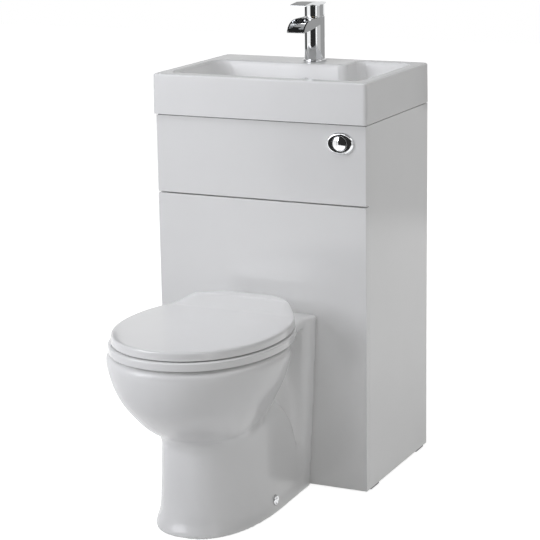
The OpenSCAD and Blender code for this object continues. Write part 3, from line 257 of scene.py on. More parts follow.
def settle(thing, node):
    """Lets a finished piece take a solid's place, body and finish."""
    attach(thing, body_of_node[node])
    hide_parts(node)
    dress(thing, node)
    return thing


# %% A solid's copy with rounded edges
corner_gap = 0.02 * MM
flat_angle = math.radians(0.6)


def merged_copy(node):
    """A copy of a solid's loose triangles, joined at their corners."""
    mesh = nodes[node].data.copy()
    work = bmesh.new()
    work.from_mesh(mesh)
    bmesh.ops.remove_doubles(work, verts=work.verts, dist=corner_gap)
    bmesh.ops.dissolve_limit(work, angle_limit=flat_angle, verts=work.verts, edges=work.edges)
    work.to_mesh(mesh)
    work.free()
    thing = bpy.data.objects.new(node + "_finished", mesh)
    scene_collection.objects.link(thing)
    return thing


def add_shell(thing, other):
    """Moves another object's mesh into the thing, as one more shell."""
    work = bmesh.new()
    work.from_mesh(thing.data)
    work.from_mesh(other.data)
    work.to_mesh(thing.data)
    work.free()
    bpy.data.objects.remove(other)
    return thing


def softened(node, width, segments=2, extra=None):
    """A copy of a solid with its sharp edges rounded, in the solid's place."""
    piece = merged_copy(node)
    if extra:
        add_shell(piece, extra)
    bevel = piece.modifiers.new("edge", "BEVEL")
    bevel.width = width * MM
    bevel.segments = segments
    bevel.limit_method = "ANGLE"
    bevel.angle_limit = math.radians(40)
    bake_modifiers(piece)
    shade_smooth(piece, 32)
    return settle(piece, node)


# %% Boards with softened edges
board_edge = 0.9
for board in ("side_panel_left", "side_panel_right", "upper_front_panel", "lower_front_panel"):
    softened(board, board_edge, segments=3)
print("boards have a", board_edge, "mm edge")

# %% [markdown]
# ## Basin
#
# The basin is one piece of fireclay: a square skirt, hollow from below, with an
# L-shaped bowl that runs past the tap deck into a recess on the right. Clay shrinks and
# glaze creeps away from edges, so every edge is a small round. The bowl is a stack of
# L-shaped rings whose walls lean in slowly at first and then sweep into the floor. It is
# cut from the block with a tool whose top flares outwards, which leaves the rounded rim.
#
# Sizes in this script are millimetres, as on a drawing, and turn into metres where an
# object is made. Most pieces start as rings of points: a loft joins ring after ring
# with four-sided faces, which shade smoothly and are easy to think about.

# %% Objects and boxes in millimetres
def new_object(name, points, faces):
    """An object at the origin, made of points in millimetres."""
    mesh = bpy.data.meshes.new(name)
    mesh.from_pydata([tuple(c * MM for c in p) for p in points], [], [tuple(f) for f in faces])
    mesh.update()
    thing = bpy.data.objects.new(name, mesh)
    scene_collection.objects.link(thing)
    return thing


def box_mm(node):
    """Low and high corner of a solid, in millimetres."""
    low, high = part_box(node)
    return Vector(low) / MM, Vector(high) / MM


def middle_mm(node):
    """Middle of a solid's box, in millimetres."""
    return [(low + high) / 2 for low, high in zip(*box_mm(node))]


# %% Lofts, bars and boxes
def loft(rings, closed=False):
    """Points and faces of a skin over rings of equal length, lowest first.

    The end rings are filled, or joined to each other where closed is set."""
    count, levels = len(rings[0]), len(rings)
    points = [p for ring in rings for p in ring]
    faces = [] if closed else [tuple(range(count - 1, -1, -1)),
                               tuple((levels - 1) * count + i for i in range(count))]
    for level in range(levels if closed else levels - 1):
        low, high = level * count, (level + 1) % levels * count
        for i in range(count):
            j = (i + 1) % count
            faces.append((low + i, low + j, high + j, high + i))
    return points, faces


def turned(axis, middle, profile, sides=64, closed=False):
    """Points and faces of a piece turned on a lathe along x, y or z.

    The profile's rows are place and radius; middle gives the other two places."""
    rings = []
    for along, radius in profile:
        ring = []
        for i in range(sides):
            turn = 2 * math.pi * i / sides
            u, v = middle[0] + radius * math.cos(turn), middle[1] + radius * math.sin(turn)
            ring.append({"x": (along, u, v), "y": (v, along, u), "z": (u, v, along)}[axis])
        rings.append(ring)
    return loft(rings, closed)


def round_bar(axis, middle, start, end, radius, sides=48):
    """Points and faces of a round bar."""
    return turned(axis, middle, [(start, radius), (end, radius)], sides)


def box_part(x0, x1, y0, y1, z0, z1):
    """Points and faces of a box."""
    return loft([[(x0, y0, z), (x1, y0, z), (x1, y1, z), (x0, y1, z)] for z in (z0, z1)])


def combine(thing, name, part, operation="DIFFERENCE", solver="EXACT"):
    """Cuts a part's points and faces out of the thing, or adds them to it."""
    tool = new_object(name, *part)
    step = thing.modifiers.new("combine", "BOOLEAN")
    step.operation = operation
    step.solver = solver
    step.object = tool
    bake_modifiers(thing)
    bpy.data.objects.remove(tool)
    return thing


# %% Basin sizes
basin_low, basin_high = box_mm("basin")
basin_foot = box_mm("basin_seal")[1].z
draft = 0.8
rim_side, rim_front, rim_back = 27, 30, 25
deck_depth, recess_width, bowl_depth = 104, 130, 104
clay, skirt_wall = 11, 15
rim_round, skirt_corner, bowl_corner = 4, 8, 26
deck_corner, recess_corner = 20, 18
rim = basin_high.z
bowl_floor = rim - bowl_depth
bowl_left = basin_low.x + draft + rim_side
bowl_right = basin_high.x - draft - rim_side
bowl_front = basin_low.y + draft + rim_front
deck_front = basin_high.y - draft - deck_depth
recess_back = basin_high.y - draft - rim_back
deck_end = bowl_right - recess_width
# How far each wall has come in at the floor
lean_left, lean_front, lean_right, lean_back, lean_recess = 104, 36, 46, 34, 26
waste_y = middle_mm("waste_plug")[1]
tap_y = middle_mm("tap_cartridge")[1]
print("bowl opens", round(bowl_right - bowl_left), "by", round(recess_back - bowl_front), "mm")


# %% Outlines of basin and bowl
def rounded(corners, radii, z, steps=10):
    """Ring round the corners of an outline that runs anticlockwise, each rounded."""
    ring = []
    for i, corner in enumerate(corners):
        here = Vector(corner)
        before = (Vector(corners[i - 1]) - here).normalized()
        after = (Vector(corners[(i + 1) % len(corners)]) - here).normalized()
        centre = here + (before + after) * radii[i]
        for step in range(steps + 1):
            turn = math.pi / 2 * step / steps
            p = centre - after * radii[i] * math.cos(turn) - before * radii[i] * math.sin(turn)
            ring.append((p.x, p.y, z))
    return ring


def bowl_ring(grow, lean, z, radius):
    """The bowl's outline; lean goes from 0 at the rim to 1 at the floor."""
    left, front = bowl_left - grow + lean_left * lean, bowl_front - grow + lean_front * lean
    right_side = bowl_right + grow - lean_right * lean
    deck, back = deck_front + grow - lean_back * lean, recess_back + grow - lean_back * lean
    inner = deck_end - grow + lean_recess * lean
    corners = [(left, front), (right_side, front), (right_side, back), (inner, back),
               (inner, deck), (left, deck)]
    return rounded(corners, [radius, radius, radius, min(radius, recess_corner), deck_corner,
                             radius + 8], z)


def lean_at(depth):
    """Walls lean slowly at first, then sweep into the floor."""
    return 0.58 * depth + 0.42 * depth ** 10


# %% Basin block
quarter_turn = np.radians([0, 18, 36, 54, 72, 90])
skirt_steps = [(basin_foot, 0)] + [
    (rim - rim_round + rim_round * math.sin(a), draft + rim_round * (1 - math.cos(a)))
    for a in quarter_turn]
corners = [(basin_low.x, basin_low.y), (basin_high.x, basin_low.y),
           (basin_high.x, basin_high.y), (basin_low.x, basin_high.y)]
skirt = []
for height, shrink in skirt_steps:
    inset = [(x - math.copysign(shrink, x), y + (shrink if y < waste_y else -shrink))
             for x, y in corners]
    skirt.append(rounded(inset, [skirt_corner] * 4, height))
basin = new_object("basin_glazed", *loft(skirt))
combine(basin, "hollow", box_part(basin_low.x + skirt_wall, basin_high.x - skirt_wall,
                                  basin_low.y + skirt_wall, basin_high.y - skirt_wall,
                                  basin_foot - 5, rim - skirt_wall))
print("block:", len(basin.data.polygons), "faces")

# %% Basin bowl, from below and from above
depths = [1 - (1 - i / 24) ** 1.6 for i in range(24, 0, -1)]
outside = [bowl_ring(clay, lean_at(d), rim - bowl_depth * d - clay, bowl_corner + 4)
           for d in depths]
outside.append(bowl_ring(clay - 1, 0, rim - 6, bowl_corner + 4))
combine(basin, "bowl_outside", loft(outside), "UNION")
trim_back = box_mm("overflow_trim")[1].y
channel_half, boss_radius = 24, 40
combine(basin, "waste_boss", round_bar("z", (0, waste_y), basin_low.z, bowl_floor - 4,
                                       boss_radius), "UNION")
combine(basin, "overflow_channel", box_part(-channel_half, channel_half, waste_y, trim_back + 14,
                                            basin_low.z, bowl_floor - 4), "UNION")
combine(basin, "overflow_riser", box_part(-channel_half, channel_half, deck_front - 22,
                                          trim_back + 15, basin_low.z, rim - 6), "UNION")
inside = [bowl_ring(0, lean_at(d), rim - bowl_depth * d, bowl_corner) for d in depths]
flare = [bowl_ring(rim_round * (1 - math.cos(a)), 0, rim - rim_round * (1 - math.sin(a)),
                   bowl_corner) for a in quarter_turn]
flare.append(bowl_ring(rim_round, 0, rim + 1, bowl_corner))
combine(basin, "bowl_inside", loft(inside + flare))

# %% Basin holes
overflow_z = middle_mm("overflow_trim")[2]
for hole_name, axis, middle, start, end, radius in (
        ("waste_hole", "z", (0, waste_y), basin_low.z - 1, bowl_floor + 9, 22.5),
        ("waste_seat", "z", (0, waste_y), bowl_floor - 4, bowl_floor + 4, 34),
        ("tap_hole", "z", (0, tap_y), rim - 60, rim + 1, 17.5),
        ("overflow_hole", "y", (overflow_z, 0), deck_front - 30, deck_front + 10, 11)):
    combine(basin, hole_name, round_bar(axis, middle, start, end, radius))
shade_smooth(basin, 40)
settle(basin, "basin")
print("basin:", len(basin.data.polygons), "faces, bowl", bowl_depth, "mm deep")

# %% [markdown]
# ## Pan
#
# The pan is cast in a plaster mould, and all its parts melt into each other: the bowl,
# the foot, the upright plate against the cabinet and the deck under the hinges. Modelled
# one by one they are easy shapes, each a table of a few rings. A voxel remesh then lays
# one even skin over all of them, which still has hard corners. Smoothing everything would
# shrink the pan, so only the inside corners are melted, widest between bowl and foot.
# The hollows are cut out and the skin is laid again, which rounds the rim.

# %% Tables, eggs and joined parts
egg_power = 2.1


def between(rows, steps):
    """The rows of a table with smooth rows put into every gap (Catmull-Rom)."""
    rows = [np.array(row, float) for row in rows]
    finer = []
    for i in range(len(rows) - 1):
        before, here = rows[max(i - 1, 0)], rows[i]
        there, after = rows[i + 1], rows[min(i + 2, len(rows) - 1)]
        for t in np.arange(steps) / steps:
            finer.append(here + 0.5 * t * (there - before + t * (
                2 * before - 5 * here + 4 * there - after
                + t * (3 * (here - there) + after - before))))
    return finer + [rows[-1]]


def signed_power(value, power):
    """A power that keeps the sign, which makes a circle squarer."""
    return math.copysign(abs(value) ** power, value)


def egg(half_width, front, back, centre, z, count=192):
    """Egg-shaped ring: squarer than an ellipse, longer to one side of its centre."""
    ring = []
    for i in range(count):
        c, s = math.cos(2 * math.pi * i / count), math.sin(2 * math.pi * i / count)
        ring.append((half_width * signed_power(c, 2 / egg_power),
                     centre + (front if s < 0 else back) * signed_power(s, 2 / egg_power), z))
    return ring


def joined(name, *parts):
    """One object out of several lists of points and faces."""
    points, faces = [], []
    for part_points, part_faces in parts:
        start = len(points)
        points += part_points
        faces += [tuple(start + i for i in face) for face in part_faces]
    return new_object(name, points, faces)


# %% Pan sizes
pan_high = box_mm("pan")[1]
panel_y = box_mm("lower_front_panel")[0].y
tip_y = box_mm("seat")[0].y
hinge_high = box_mm("hinge_posts")[1]
post_x = hinge_high.x - 16
deck_top = pan_high.z
rim_z = box_mm("seat")[0].z - 2.5
bowl_centre = panel_y - 283
nose_back = 172
nose_centre = panel_y - nose_back
foot_half, foot_length = 112, 386
plate_depth, hinge_deck_depth, shelf_depth, core_depth = 44, 90, 200, 180
bowl_back = 165
outlet_z, inlet_z = 185, 335
spigot_radius, outlet_radius, socket_radius, inlet_radius, trap_radius = 51, 44, 28, 19, 27
print("pan stands", round(panel_y - tip_y), "mm out from the panel, rim at", round(rim_z, 1))

# %% Pan rings
# Height, half width, length in front of the bowl's centre
bowl_rings = [[186, 70, 66], [206, 98, 104], [220, 112, 128], [236, 124, 149], [256, 137, 170],
              [276, 148, 189], [296, 159, 203], [320, 170.5, 212], [340, 177.5, 216],
              [356, 182, 218], [368, 184, 218], [376, 183, 215.5], [381, 179, 210],
              [384, 173, 203]]
# Height, and how far sides, nose and back stand in
foot_rings = [[0, -5, -6, 2], [3, -6.5, -8, 2], [12, -5, -4, 2], [30, -1, 5, 4],
              [60, -0.5, 11, 16], [110, 0.5, 15, 50], [160, 1.5, 18, 74], [190, 4, 21, 92],
              [212, 8.5, 26, 110], [232, 17.5, 35, 132], [248, 30, 50, 152], [258, 46, 70, 168]]
# Height and how much wider than the foot the upright plate is
plate_rings = [[0, -1], [60, 4.5], [175, 11.5], [391, 20.5]]
# Inside of the bowl: height, half width, front, back, place of the centre from the panel
inside_rings = [[118, 30, 36, 26, 252], [126, 40, 46, 34, 254], [150, 50, 60, 44, 258],
                [190, 66, 84, 60, 266], [230, 90, 116, 86, 276], [270, 112, 146, 108, 283],
                [310, 128, 166, 122, 286], [340, 138, 178, 128, 286], [352, 138, 178, 126, 286],
                [358, 126, 164, 114, 286], [364, 118, 154, 106, 286], [380, 116, 152, 104, 286],
                [384.1, 119, 156, 107, 286], [386, 119, 156, 107, 286]]
# Height and half width of the core that joins bowl and plate
core_rings = [[0, 92], [150, 90], [220, 84], [290, 62], [340, 47], [deck_top - 8, 47]]


# %% Foot and plate outlines
def foot_ring(half, nose, back, z, count=96):
    """U-shaped ring: a round nose, squarer at the floor, and two rounded back corners."""
    power = 2.3 + 0.1 * max(0.0, 1 - z / 60)
    corner = 4 + 10 * min(1.0, z / 100)
    ring = []
    for i in range(count + 1):
        turn = math.pi * (1 + i / count)
        ring.append((half * signed_power(math.cos(turn), 2 / power),
                     nose_centre - nose * abs(math.sin(turn)) ** (2 / power), z))
    for start, x in ((0, half - corner), (math.pi / 2, corner - half)):
        for i in range(9):
            turn = start + math.pi / 2 * i / 8
            ring.append((x + corner * math.cos(turn), back - corner + corner * math.sin(turn), z))
    return [(x * (1 - 0.035 * min(1, max(0, (y + 60) / 130)) ** 2), y, z) for x, y, z in ring]


def slab_ring(half, front, back, z, radius, steps=12):
    """Ring with two rounded corners in front and a square back."""
    ring = []
    for start, x in ((math.pi, radius - half), (1.5 * math.pi, half - radius)):
        for i in range(steps + 1):
            turn = start + math.pi / 2 * i / steps
            ring.append((x + radius * math.cos(turn), front + radius + radius * math.sin(turn), z))
    return ring + [(half, back, z), (-half, back, z)]


def plate_half(z):
    """Half width of the upright plate, which widens towards the deck."""
    return foot_half + float(np.interp(z, *zip(*plate_rings)))


# %% Pan parts
deck_half = plate_half(deck_top) - 9
deck_radius, core_radius = 8, 20
round_top = [(deck_top - 4, 0), (deck_top - 1.2, 1.2), (deck_top, 4)]
pan_parts = [
    loft([egg(a, b, min(b, bowl_back), bowl_centre, z) for z, a, b in between(bowl_rings, 4)]),
    loft([foot_ring(foot_half - s, foot_length - nose_back - n, panel_y - r, z)
          for z, s, n, r in between(foot_rings, 4)]),
    loft([slab_ring(plate_half(z) - i, panel_y - plate_depth + i, panel_y, z,
                    10 + 16 * z / deck_top)
          for z, i in [(0, 0), (60, 0), (120, 0), (175, 0), (240, 0), (310, 0)] + round_top]),
    loft([slab_ring(deck_half - i, panel_y - hinge_deck_depth + i, panel_y, z, deck_radius)
          for z, i in [(deck_top - 18, 3), (deck_top - 12, 0)] + round_top]),
    loft([slab_ring(deck_half - i, panel_y - shelf_depth, panel_y, z, deck_radius)
          for z, i in [(rim_z - 16, 3), (rim_z - 10, 0), (rim_z - 3, 0), (rim_z, 3)]]),
    loft([slab_ring(half, panel_y - core_depth, panel_y, z, core_radius)
          for z, half in between(core_rings, 4)]),
    round_bar("y", (outlet_z, 0), panel_y - 10, pan_high.y, spigot_radius, 96),
]
pan = joined("pan_glazed", *pan_parts)
print("pan:", len(pan_parts), "parts, plate", round(2 * plate_half(deck_top)), "mm wide at the deck")


# %% Skin and fillets
def lay_skin(thing, grain=4.0):
    """One even skin over everything the thing holds."""
    skin = thing.modifiers.new("skin", "REMESH")
    skin.mode = "VOXEL"
    skin.voxel_size = grain * MM
    return bake_modifiers(thing)


def soften_where(thing, rounds, share):
    """Smooths the mesh, each point by the share that the function gives for its place."""
    group = thing.vertex_groups.new(name="share")
    for vertex in thing.data.vertices:
        group.add([vertex.index], share(*(vertex.co / MM)), "REPLACE")
    soften = thing.modifiers.new("soften", "SMOOTH")
    soften.iterations = rounds
    soften.vertex_group = group.name
    bake_modifiers(thing)
    thing.vertex_groups.clear()
    return thing


def read_rows(mesh, what):
    """Places or normals of a mesh's points, one row for each."""
    values = np.empty(len(mesh.vertices) * 3)
    mesh.vertices.foreach_get(what, values)
    return values.reshape(-1, 3)


def melt_creases(thing, reach, rounds, share, push=0.3, feel=12, gain=4):
    """Smooths round the inside corners only, so that nothing else shrinks.

    A point lies in an inside corner where some rounds of smoothing, the feel, would push
    it outwards by more than the push in millimetres. The reach says how many rows of
    points round it join in, and the gain how soon they do so fully."""
    mesh = thing.data
    count = len(mesh.vertices)
    places, outwards = read_rows(mesh, "co"), read_rows(mesh, "normal")
    ends = np.empty(len(mesh.edges) * 2, int)
    mesh.edges.foreach_get("vertices", ends)
    one, other = ends.reshape(-1, 2).T
    degree = np.bincount(ends, minlength=count)

    def mean(values):
        """Mean of the neighbours of every point."""
        return (np.bincount(one, values[other], count)
                + np.bincount(other, values[one], count)) / degree

    def relaxed(points, amount):
        """Points moved this share of the way to their neighbours' mean."""
        return points + amount[:, None] * (np.stack([mean(c) for c in points.T], 1) - points)

    soft = places
    for _ in range(feel):
        soft = relaxed(soft, np.full(count, 0.5))
    weight = (((soft - places) * outwards).sum(axis=1) > push * MM).astype(float)
    for _ in range(reach):
        weight = mean(weight)
    weight = np.clip(weight * gain, 0, 1)
    weight *= [share(*(place / MM)) for place in places]
    for _ in range(rounds):
        places = relaxed(places, 0.5 * weight)
    mesh.vertices.foreach_set("co", places.ravel())
    mesh.update()
    return thing


# %% Pan skin
def eased(t):
    """0 below 0, 1 above 1 and a smooth step between."""
    t = min(1.0, max(0.0, t))
    return t * t * (3 - 2 * t)


def cast_softness(x, y, z):
    """Wide fillets between bowl and foot, small ones by the plate and the rims."""
    heights = eased((z - 30) / 60) * eased((345 - z) / 40)
    return heights * (1 - 0.7 * eased((y + 200) / 200))


def skin_softness(x, y, z):
    """A little everywhere, to take the steps out of the skin, less at foot and rim."""
    return 0.15 + 0.85 * eased((z - 20) / 30) * eased((340 - z) / 30)


lay_skin(pan)
soften_where(pan, 3, skin_softness)
melt_creases(pan, 12, 160, cast_softness)
print("pan's first skin:", len(pan.data.polygons), "faces")


# %% Pan hollows
def tube(path, radius, sides=32):
    """Points and faces of a round tube along a path in the plane x = 0."""
    rings = []
    across = Vector((1, 0, 0))
    for i, (y, z) in enumerate(path):
        y0, z0 = path[max(i - 1, 0)]
        y1, z1 = path[min(i + 1, len(path) - 1)]
        third = Vector((0, y1 - y0, z1 - z0)).normalized().cross(across)
        turns = [2 * math.pi * k / sides for k in range(sides)]
        rings.append([tuple(Vector((0, y, z)) + radius * (
            math.cos(turn) * across + math.sin(turn) * third)) for turn in turns])
    return loft(rings)


# Distance from the panel and height of the water's way out
trapway = [[250, 146], [220, 146], [188, 160], [162, 196], [140, 226], [114, 236], [86, 226],
           [62, 204], [36, 190], [10, 186]]
pan_hollows = {
    "bowl_inside": loft([egg(a, b, c, panel_y - d, z)
                         for z, a, b, c, d in between(inside_rings, 4)]),
    "trapway": tube([(panel_y - d, z) for d, z in between(trapway, 3)], trap_radius),
    "outlet": round_bar("y", (outlet_z, 0), panel_y - 36, pan_high.y + 1, outlet_radius),
    "inlet_socket": round_bar("y", (inlet_z, 0), panel_y - 34, panel_y + 1, socket_radius),
    "inlet": round_bar("y", (inlet_z, 0), panel_y - 188, panel_y, inlet_radius),
    "foot_hollow": loft([foot_ring(foot_half - i, foot_length - 190 - i, panel_y - 16, z, 8)
                         for z, i in ((-1, 15), (60, 17), (88, 40))]),
}
for hollow_name, part in pan_hollows.items():
    combine(pan, hollow_name, part, solver="MANIFOLD")
lay_skin(pan)
soften_where(pan, 5, skin_softness)
print("hollows:", ", ".join(pan_hollows))

# %% Seats for the caps and bores for the hinge studs
cap_high = box_mm("side_fixings")[1]
cap_y, cap_z = middle_mm("side_fixings")[1:]
for side in (-1, 1):
    ends = sorted((side * 105.5, side * 130))
    combine(pan, "cap_seat", round_bar("x", (cap_y, cap_z), *ends, 11.5), solver="MANIFOLD")
    combine(pan, "stud_bore", round_bar("z", (side * post_x, 0), deck_top - 40, deck_top + 1, 5),
            solver="MANIFOLD")
shade_smooth(pan, 50)
settle(pan, "pan")
print("pan:", len(pan.data.polygons), "faces")

# %% [markdown]
# ## Lid
#
# The lid is a moulded shell. Its outline is the same egg as the seat's, a little
# smaller, and its top is almost flat: it rises by 5 mm to the middle and by a good deal
# more towards the hinges, where it covers the gap to the cabinet. One function gives the
# height of the top, and rings that step in from the edge follow it.

# %% Lid sizes
seat_low, seat_high = box_mm("seat")
lid_low, lid_high = box_mm("lid")
seat_half = (seat_high.x - seat_low.x) / 2
seat_thickness = 17.5
lid_foot = seat_low.z + seat_thickness + 2.5
seat_centre = panel_y - 274
lid_half = (lid_high.x - lid_low.x) / 2 + 2.5
lid_front = seat_centre - lid_low.y + 2
lid_back = 229
lid_edge, lid_rise, hinge_rise, lid_hollow = 17, 5, 16, 8
# The rise to the hinges: where it starts, how long it takes, its half width and its sides
rise_start, rise_length, rise_half, rise_side = -92, 70, 154, 50
print("lid", round(2 * lid_half, 1), "mm wide,", lid_edge, "mm high at its edge")


# %% Lid mesh
def soft_minimum(a, b, blend):
    """The smaller of two values, with a round change from one to the other."""
    h = min(1.0, max(0.0, 0.5 + 0.5 * (b - a) / blend))
    return b + (a - b) * h - blend * h * (1 - h)


def lid_ring(inset, share, lift=0.0):
    """Ring of the lid, stepped in from its edge, at a share of its full height."""
    k = 1 - inset / lid_half
    ring = []
    for x, y, _ in egg(lid_half, lid_front, lid_back, seat_centre, 0, count=224):
        x, y = x * k, seat_centre + (soft_minimum(y, lid_high.y, 5) - seat_centre) * k
        top = lid_edge + lid_rise * (1 - k * k)
        top += (hinge_rise * eased((y - rise_start) / rise_length)
                * eased((rise_half - abs(x)) / rise_side))
        ring.append((x, y, lid_foot + lift + top * share))
    return ring


lid_profile = between([[0.6, 0], [0, 0.05], [0.3, 0.5], [0.9, 0.8], [2.2, 0.95], [5, 1]], 4)
lid_profile += [(inset, 1) for inset in list(range(9, 40, 3)) + list(range(44, 166, 6))]
lid_rings = [lid_ring(16, 0, lid_hollow), lid_ring(15, 0, lid_hollow * 0.5), lid_ring(14, 0)]
lid_rings += [lid_ring(inset, share) for inset, share in lid_profile]
lid = new_object("lid_moulded", *loft(lid_rings))
print("lid:", len(lid.data.polygons), "faces")

# %% Lid hinge
hinge_z = hinge_high.z - 8.5
lug_radius, pin_bore = 8, 4.05
for side in (-1, 1):
    ends = sorted((side * (post_x - 23), side * (post_x + 20)))
    combine(lid, "hinge_gap", box_part(*ends, -16, lid_high.y + 5, lid_foot - 1, hinge_z + 11))
    ends = sorted((side * (post_x + 8), side * (post_x + 17)))
    combine(lid, "lug", round_bar("x", (0, hinge_z), *ends, lug_radius), "UNION")
    combine(lid, "lug_root", box_part(*ends, -lug_radius, lug_radius, hinge_z, hinge_z + 13),
            "UNION")
    combine(lid, "pin_bore", round_bar("x", (0, hinge_z), ends[0] - 1, ends[1] + 1, pin_bore))
shade_smooth(lid, 40)
settle(lid, "lid")
print("hinge pins at z", round(hinge_z, 1))

# %% [markdown]
# ## Seat
#
# The seat is a ring whose section stays the same in height but changes in width, wide
# at the back and narrow at the sides. That is a rule, so it is written as one, in
# Geometry Nodes: two egg outlines share an angle, a rounded section runs from the outer
# to the inner one, and a flat grid is bent along both. Changing one of its inputs gives
# another seat.

# %% Geometry Nodes helpers
FLOAT, INT, GEOMETRY = "NodeSocketFloat", "NodeSocketInt", "NodeSocketGeometry"
VECTOR, MATERIAL = "NodeSocketVector", "NodeSocketMaterial"


def new_group(name, inputs, outputs=(("Geometry", GEOMETRY),)):
    """An empty group with its sockets. Returns the group, its input and output nodes."""
    group = bpy.data.node_groups.new(name, "GeometryNodeTree")
    for socket_name, kind in inputs:
        group.interface.new_socket(socket_name, in_out="INPUT", socket_type=kind)
    for socket_name, kind in outputs:
        group.interface.new_socket(socket_name, in_out="OUTPUT", socket_type=kind)
    return group, group.nodes.new("NodeGroupInput"), group.nodes.new("NodeGroupOutput")


def rounded_power(group, value, power):
    """A power that keeps the sign, in nodes."""
    size = calc(group, "POWER", calc(group, "ABSOLUTE", value), power)
    return calc(group, "MULTIPLY", size, calc(group, "SIGN", value))


def finish_group(group, geometry, given, result):
    """Ends a group with real geometry in the material that it is given."""
    real = put(group, "GeometryNodeRealizeInstances", Geometry=geometry)
    painted = put(group, "GeometryNodeSetMaterial", Geometry=real.outputs[0],
                  Material=given.outputs["Material"])
    group.links.new(painted.outputs[0], result.inputs["Geometry"])


def run_group(thing, group, **inputs):
    """Runs a group on an object with named inputs and keeps the resulting mesh."""
    step = thing.modifiers.new("rule", "NODES")
    step.node_group = group
    sockets = {item.name: item.identifier for item in group.interface.items_tree
               if item.in_out == "INPUT"}
    for key, value in inputs.items():
        step[sockets[key.replace("_", " ")]] = value
    return bake_modifiers(thing)


# %% The egg outline as a group
outline, given, result = new_group(
    "egg_outline", [("Angle", FLOAT), ("Half width", FLOAT), ("Front", FLOAT), ("Back", FLOAT),
                    ("Centre", FLOAT), ("Rear", FLOAT), ("Power", FLOAT)], [("Point", VECTOR)])
angle = given.outputs["Angle"]
cosine, sine = calc(outline, "COSINE", angle), calc(outline, "SINE", angle)
exponent = calc(outline, "DIVIDE", 2.0, given.outputs["Power"])
across = calc(outline, "MULTIPLY", rounded_power(outline, cosine, exponent),
              given.outputs["Half width"])
in_front = calc(outline, "LESS_THAN", sine, 0.0)
reach = put(outline, "ShaderNodeMix", {"data_type": "FLOAT"}, Factor=in_front,
            A=given.outputs["Back"], B=given.outputs["Front"]).outputs[0]
along = calc(outline, "MULTIPLY_ADD", rounded_power(outline, sine, exponent), reach,
             given.outputs["Centre"])
along = calc(outline, "SMOOTH_MIN", along, given.outputs["Rear"], 0.006)
point = put(outline, "ShaderNodeCombineXYZ", X=across, Y=along).outputs[0]
outline.links.new(point, result.inputs["Point"])
print(outline.name, "has", len(outline.nodes), "nodes")

# %% The seat as a group
seat_rule, given, result = new_group(
    "seat_ring", [("Geometry", GEOMETRY), ("Around", INT), ("Across", INT), ("Half width", FLOAT),
                  ("Front", FLOAT), ("Back", FLOAT), ("Centre", FLOAT), ("Rear", FLOAT),
                  ("Hole half width", FLOAT), ("Hole front", FLOAT), ("Hole back", FLOAT),
                  ("Hole centre", FLOAT), ("Underside", FLOAT), ("Thickness", FLOAT),
                  ("Top roundness", FLOAT), ("Foot roundness", FLOAT), ("Material", MATERIAL)])
grid = put(seat_rule, "GeometryNodeMeshGrid", Size_X=1.0, Size_Y=1.0,
           Vertices_X=given.outputs["Around"], Vertices_Y=given.outputs["Across"])
flat = put(seat_rule, "ShaderNodeSeparateXYZ",
           Vector=put(seat_rule, "GeometryNodeInputPosition").outputs[0])
turn, section = [
    calc(seat_rule, "MULTIPLY", calc(seat_rule, "ADD", flat.outputs[way], 0.5), 2 * math.pi)
    for way in ("X", "Y")]


def seat_outline(prefix):
    """Point of the outer outline, or with the prefix of the hole's."""
    node = put(seat_rule, "GeometryNodeGroup", {"node_tree": outline}, Angle=turn,
               Rear=given.outputs["Rear"], Power=egg_power)
    for plain in ("Half width", "Front", "Back", "Centre"):
        wanted = prefix + plain.lower() if prefix else plain
        seat_rule.links.new(given.outputs[wanted], node.inputs[plain])
    return node.outputs[0]


up_down = calc(seat_rule, "SINE", section)
is_foot = calc(seat_rule, "LESS_THAN", up_down, 0.0)
roundness = put(seat_rule, "ShaderNodeMix", {"data_type": "FLOAT"}, Factor=is_foot,
                A=given.outputs["Top roundness"], B=given.outputs["Foot roundness"]).outputs[0]
bend = calc(seat_rule, "DIVIDE", 2.0, roundness)
share = calc(seat_rule, "MULTIPLY_ADD",
             rounded_power(seat_rule, calc(seat_rule, "COSINE", section), bend), -0.5, 0.5)
height = calc(seat_rule, "MULTIPLY_ADD", rounded_power(seat_rule, up_down, bend), 0.5, 0.5)
height = calc(seat_rule, "MULTIPLY_ADD", height, given.outputs["Thickness"],
              given.outputs["Underside"])
# A Mix node of vectors has its factor at input 0 and its two vectors at 4 and 5
plan = put(seat_rule, "ShaderNodeMix", {"data_type": "VECTOR"}, i0=share, i4=seat_outline(""),
           i5=seat_outline("Hole "))
split = put(seat_rule, "ShaderNodeSeparateXYZ", Vector=plan.outputs[1])
place = put(seat_rule, "ShaderNodeCombineXYZ", X=split.outputs["X"], Y=split.outputs["Y"],
            Z=height).outputs[0]
bent = put(seat_rule, "GeometryNodeSetPosition", Geometry=grid.outputs["Mesh"], Position=place)
closed = put(seat_rule, "GeometryNodeMergeByDistance", Geometry=bent.outputs[0],
             Distance=0.00001)
finish_group(seat_rule, closed.outputs[0], given, result)
print(seat_rule.name, "has", len(seat_rule.nodes), "nodes")

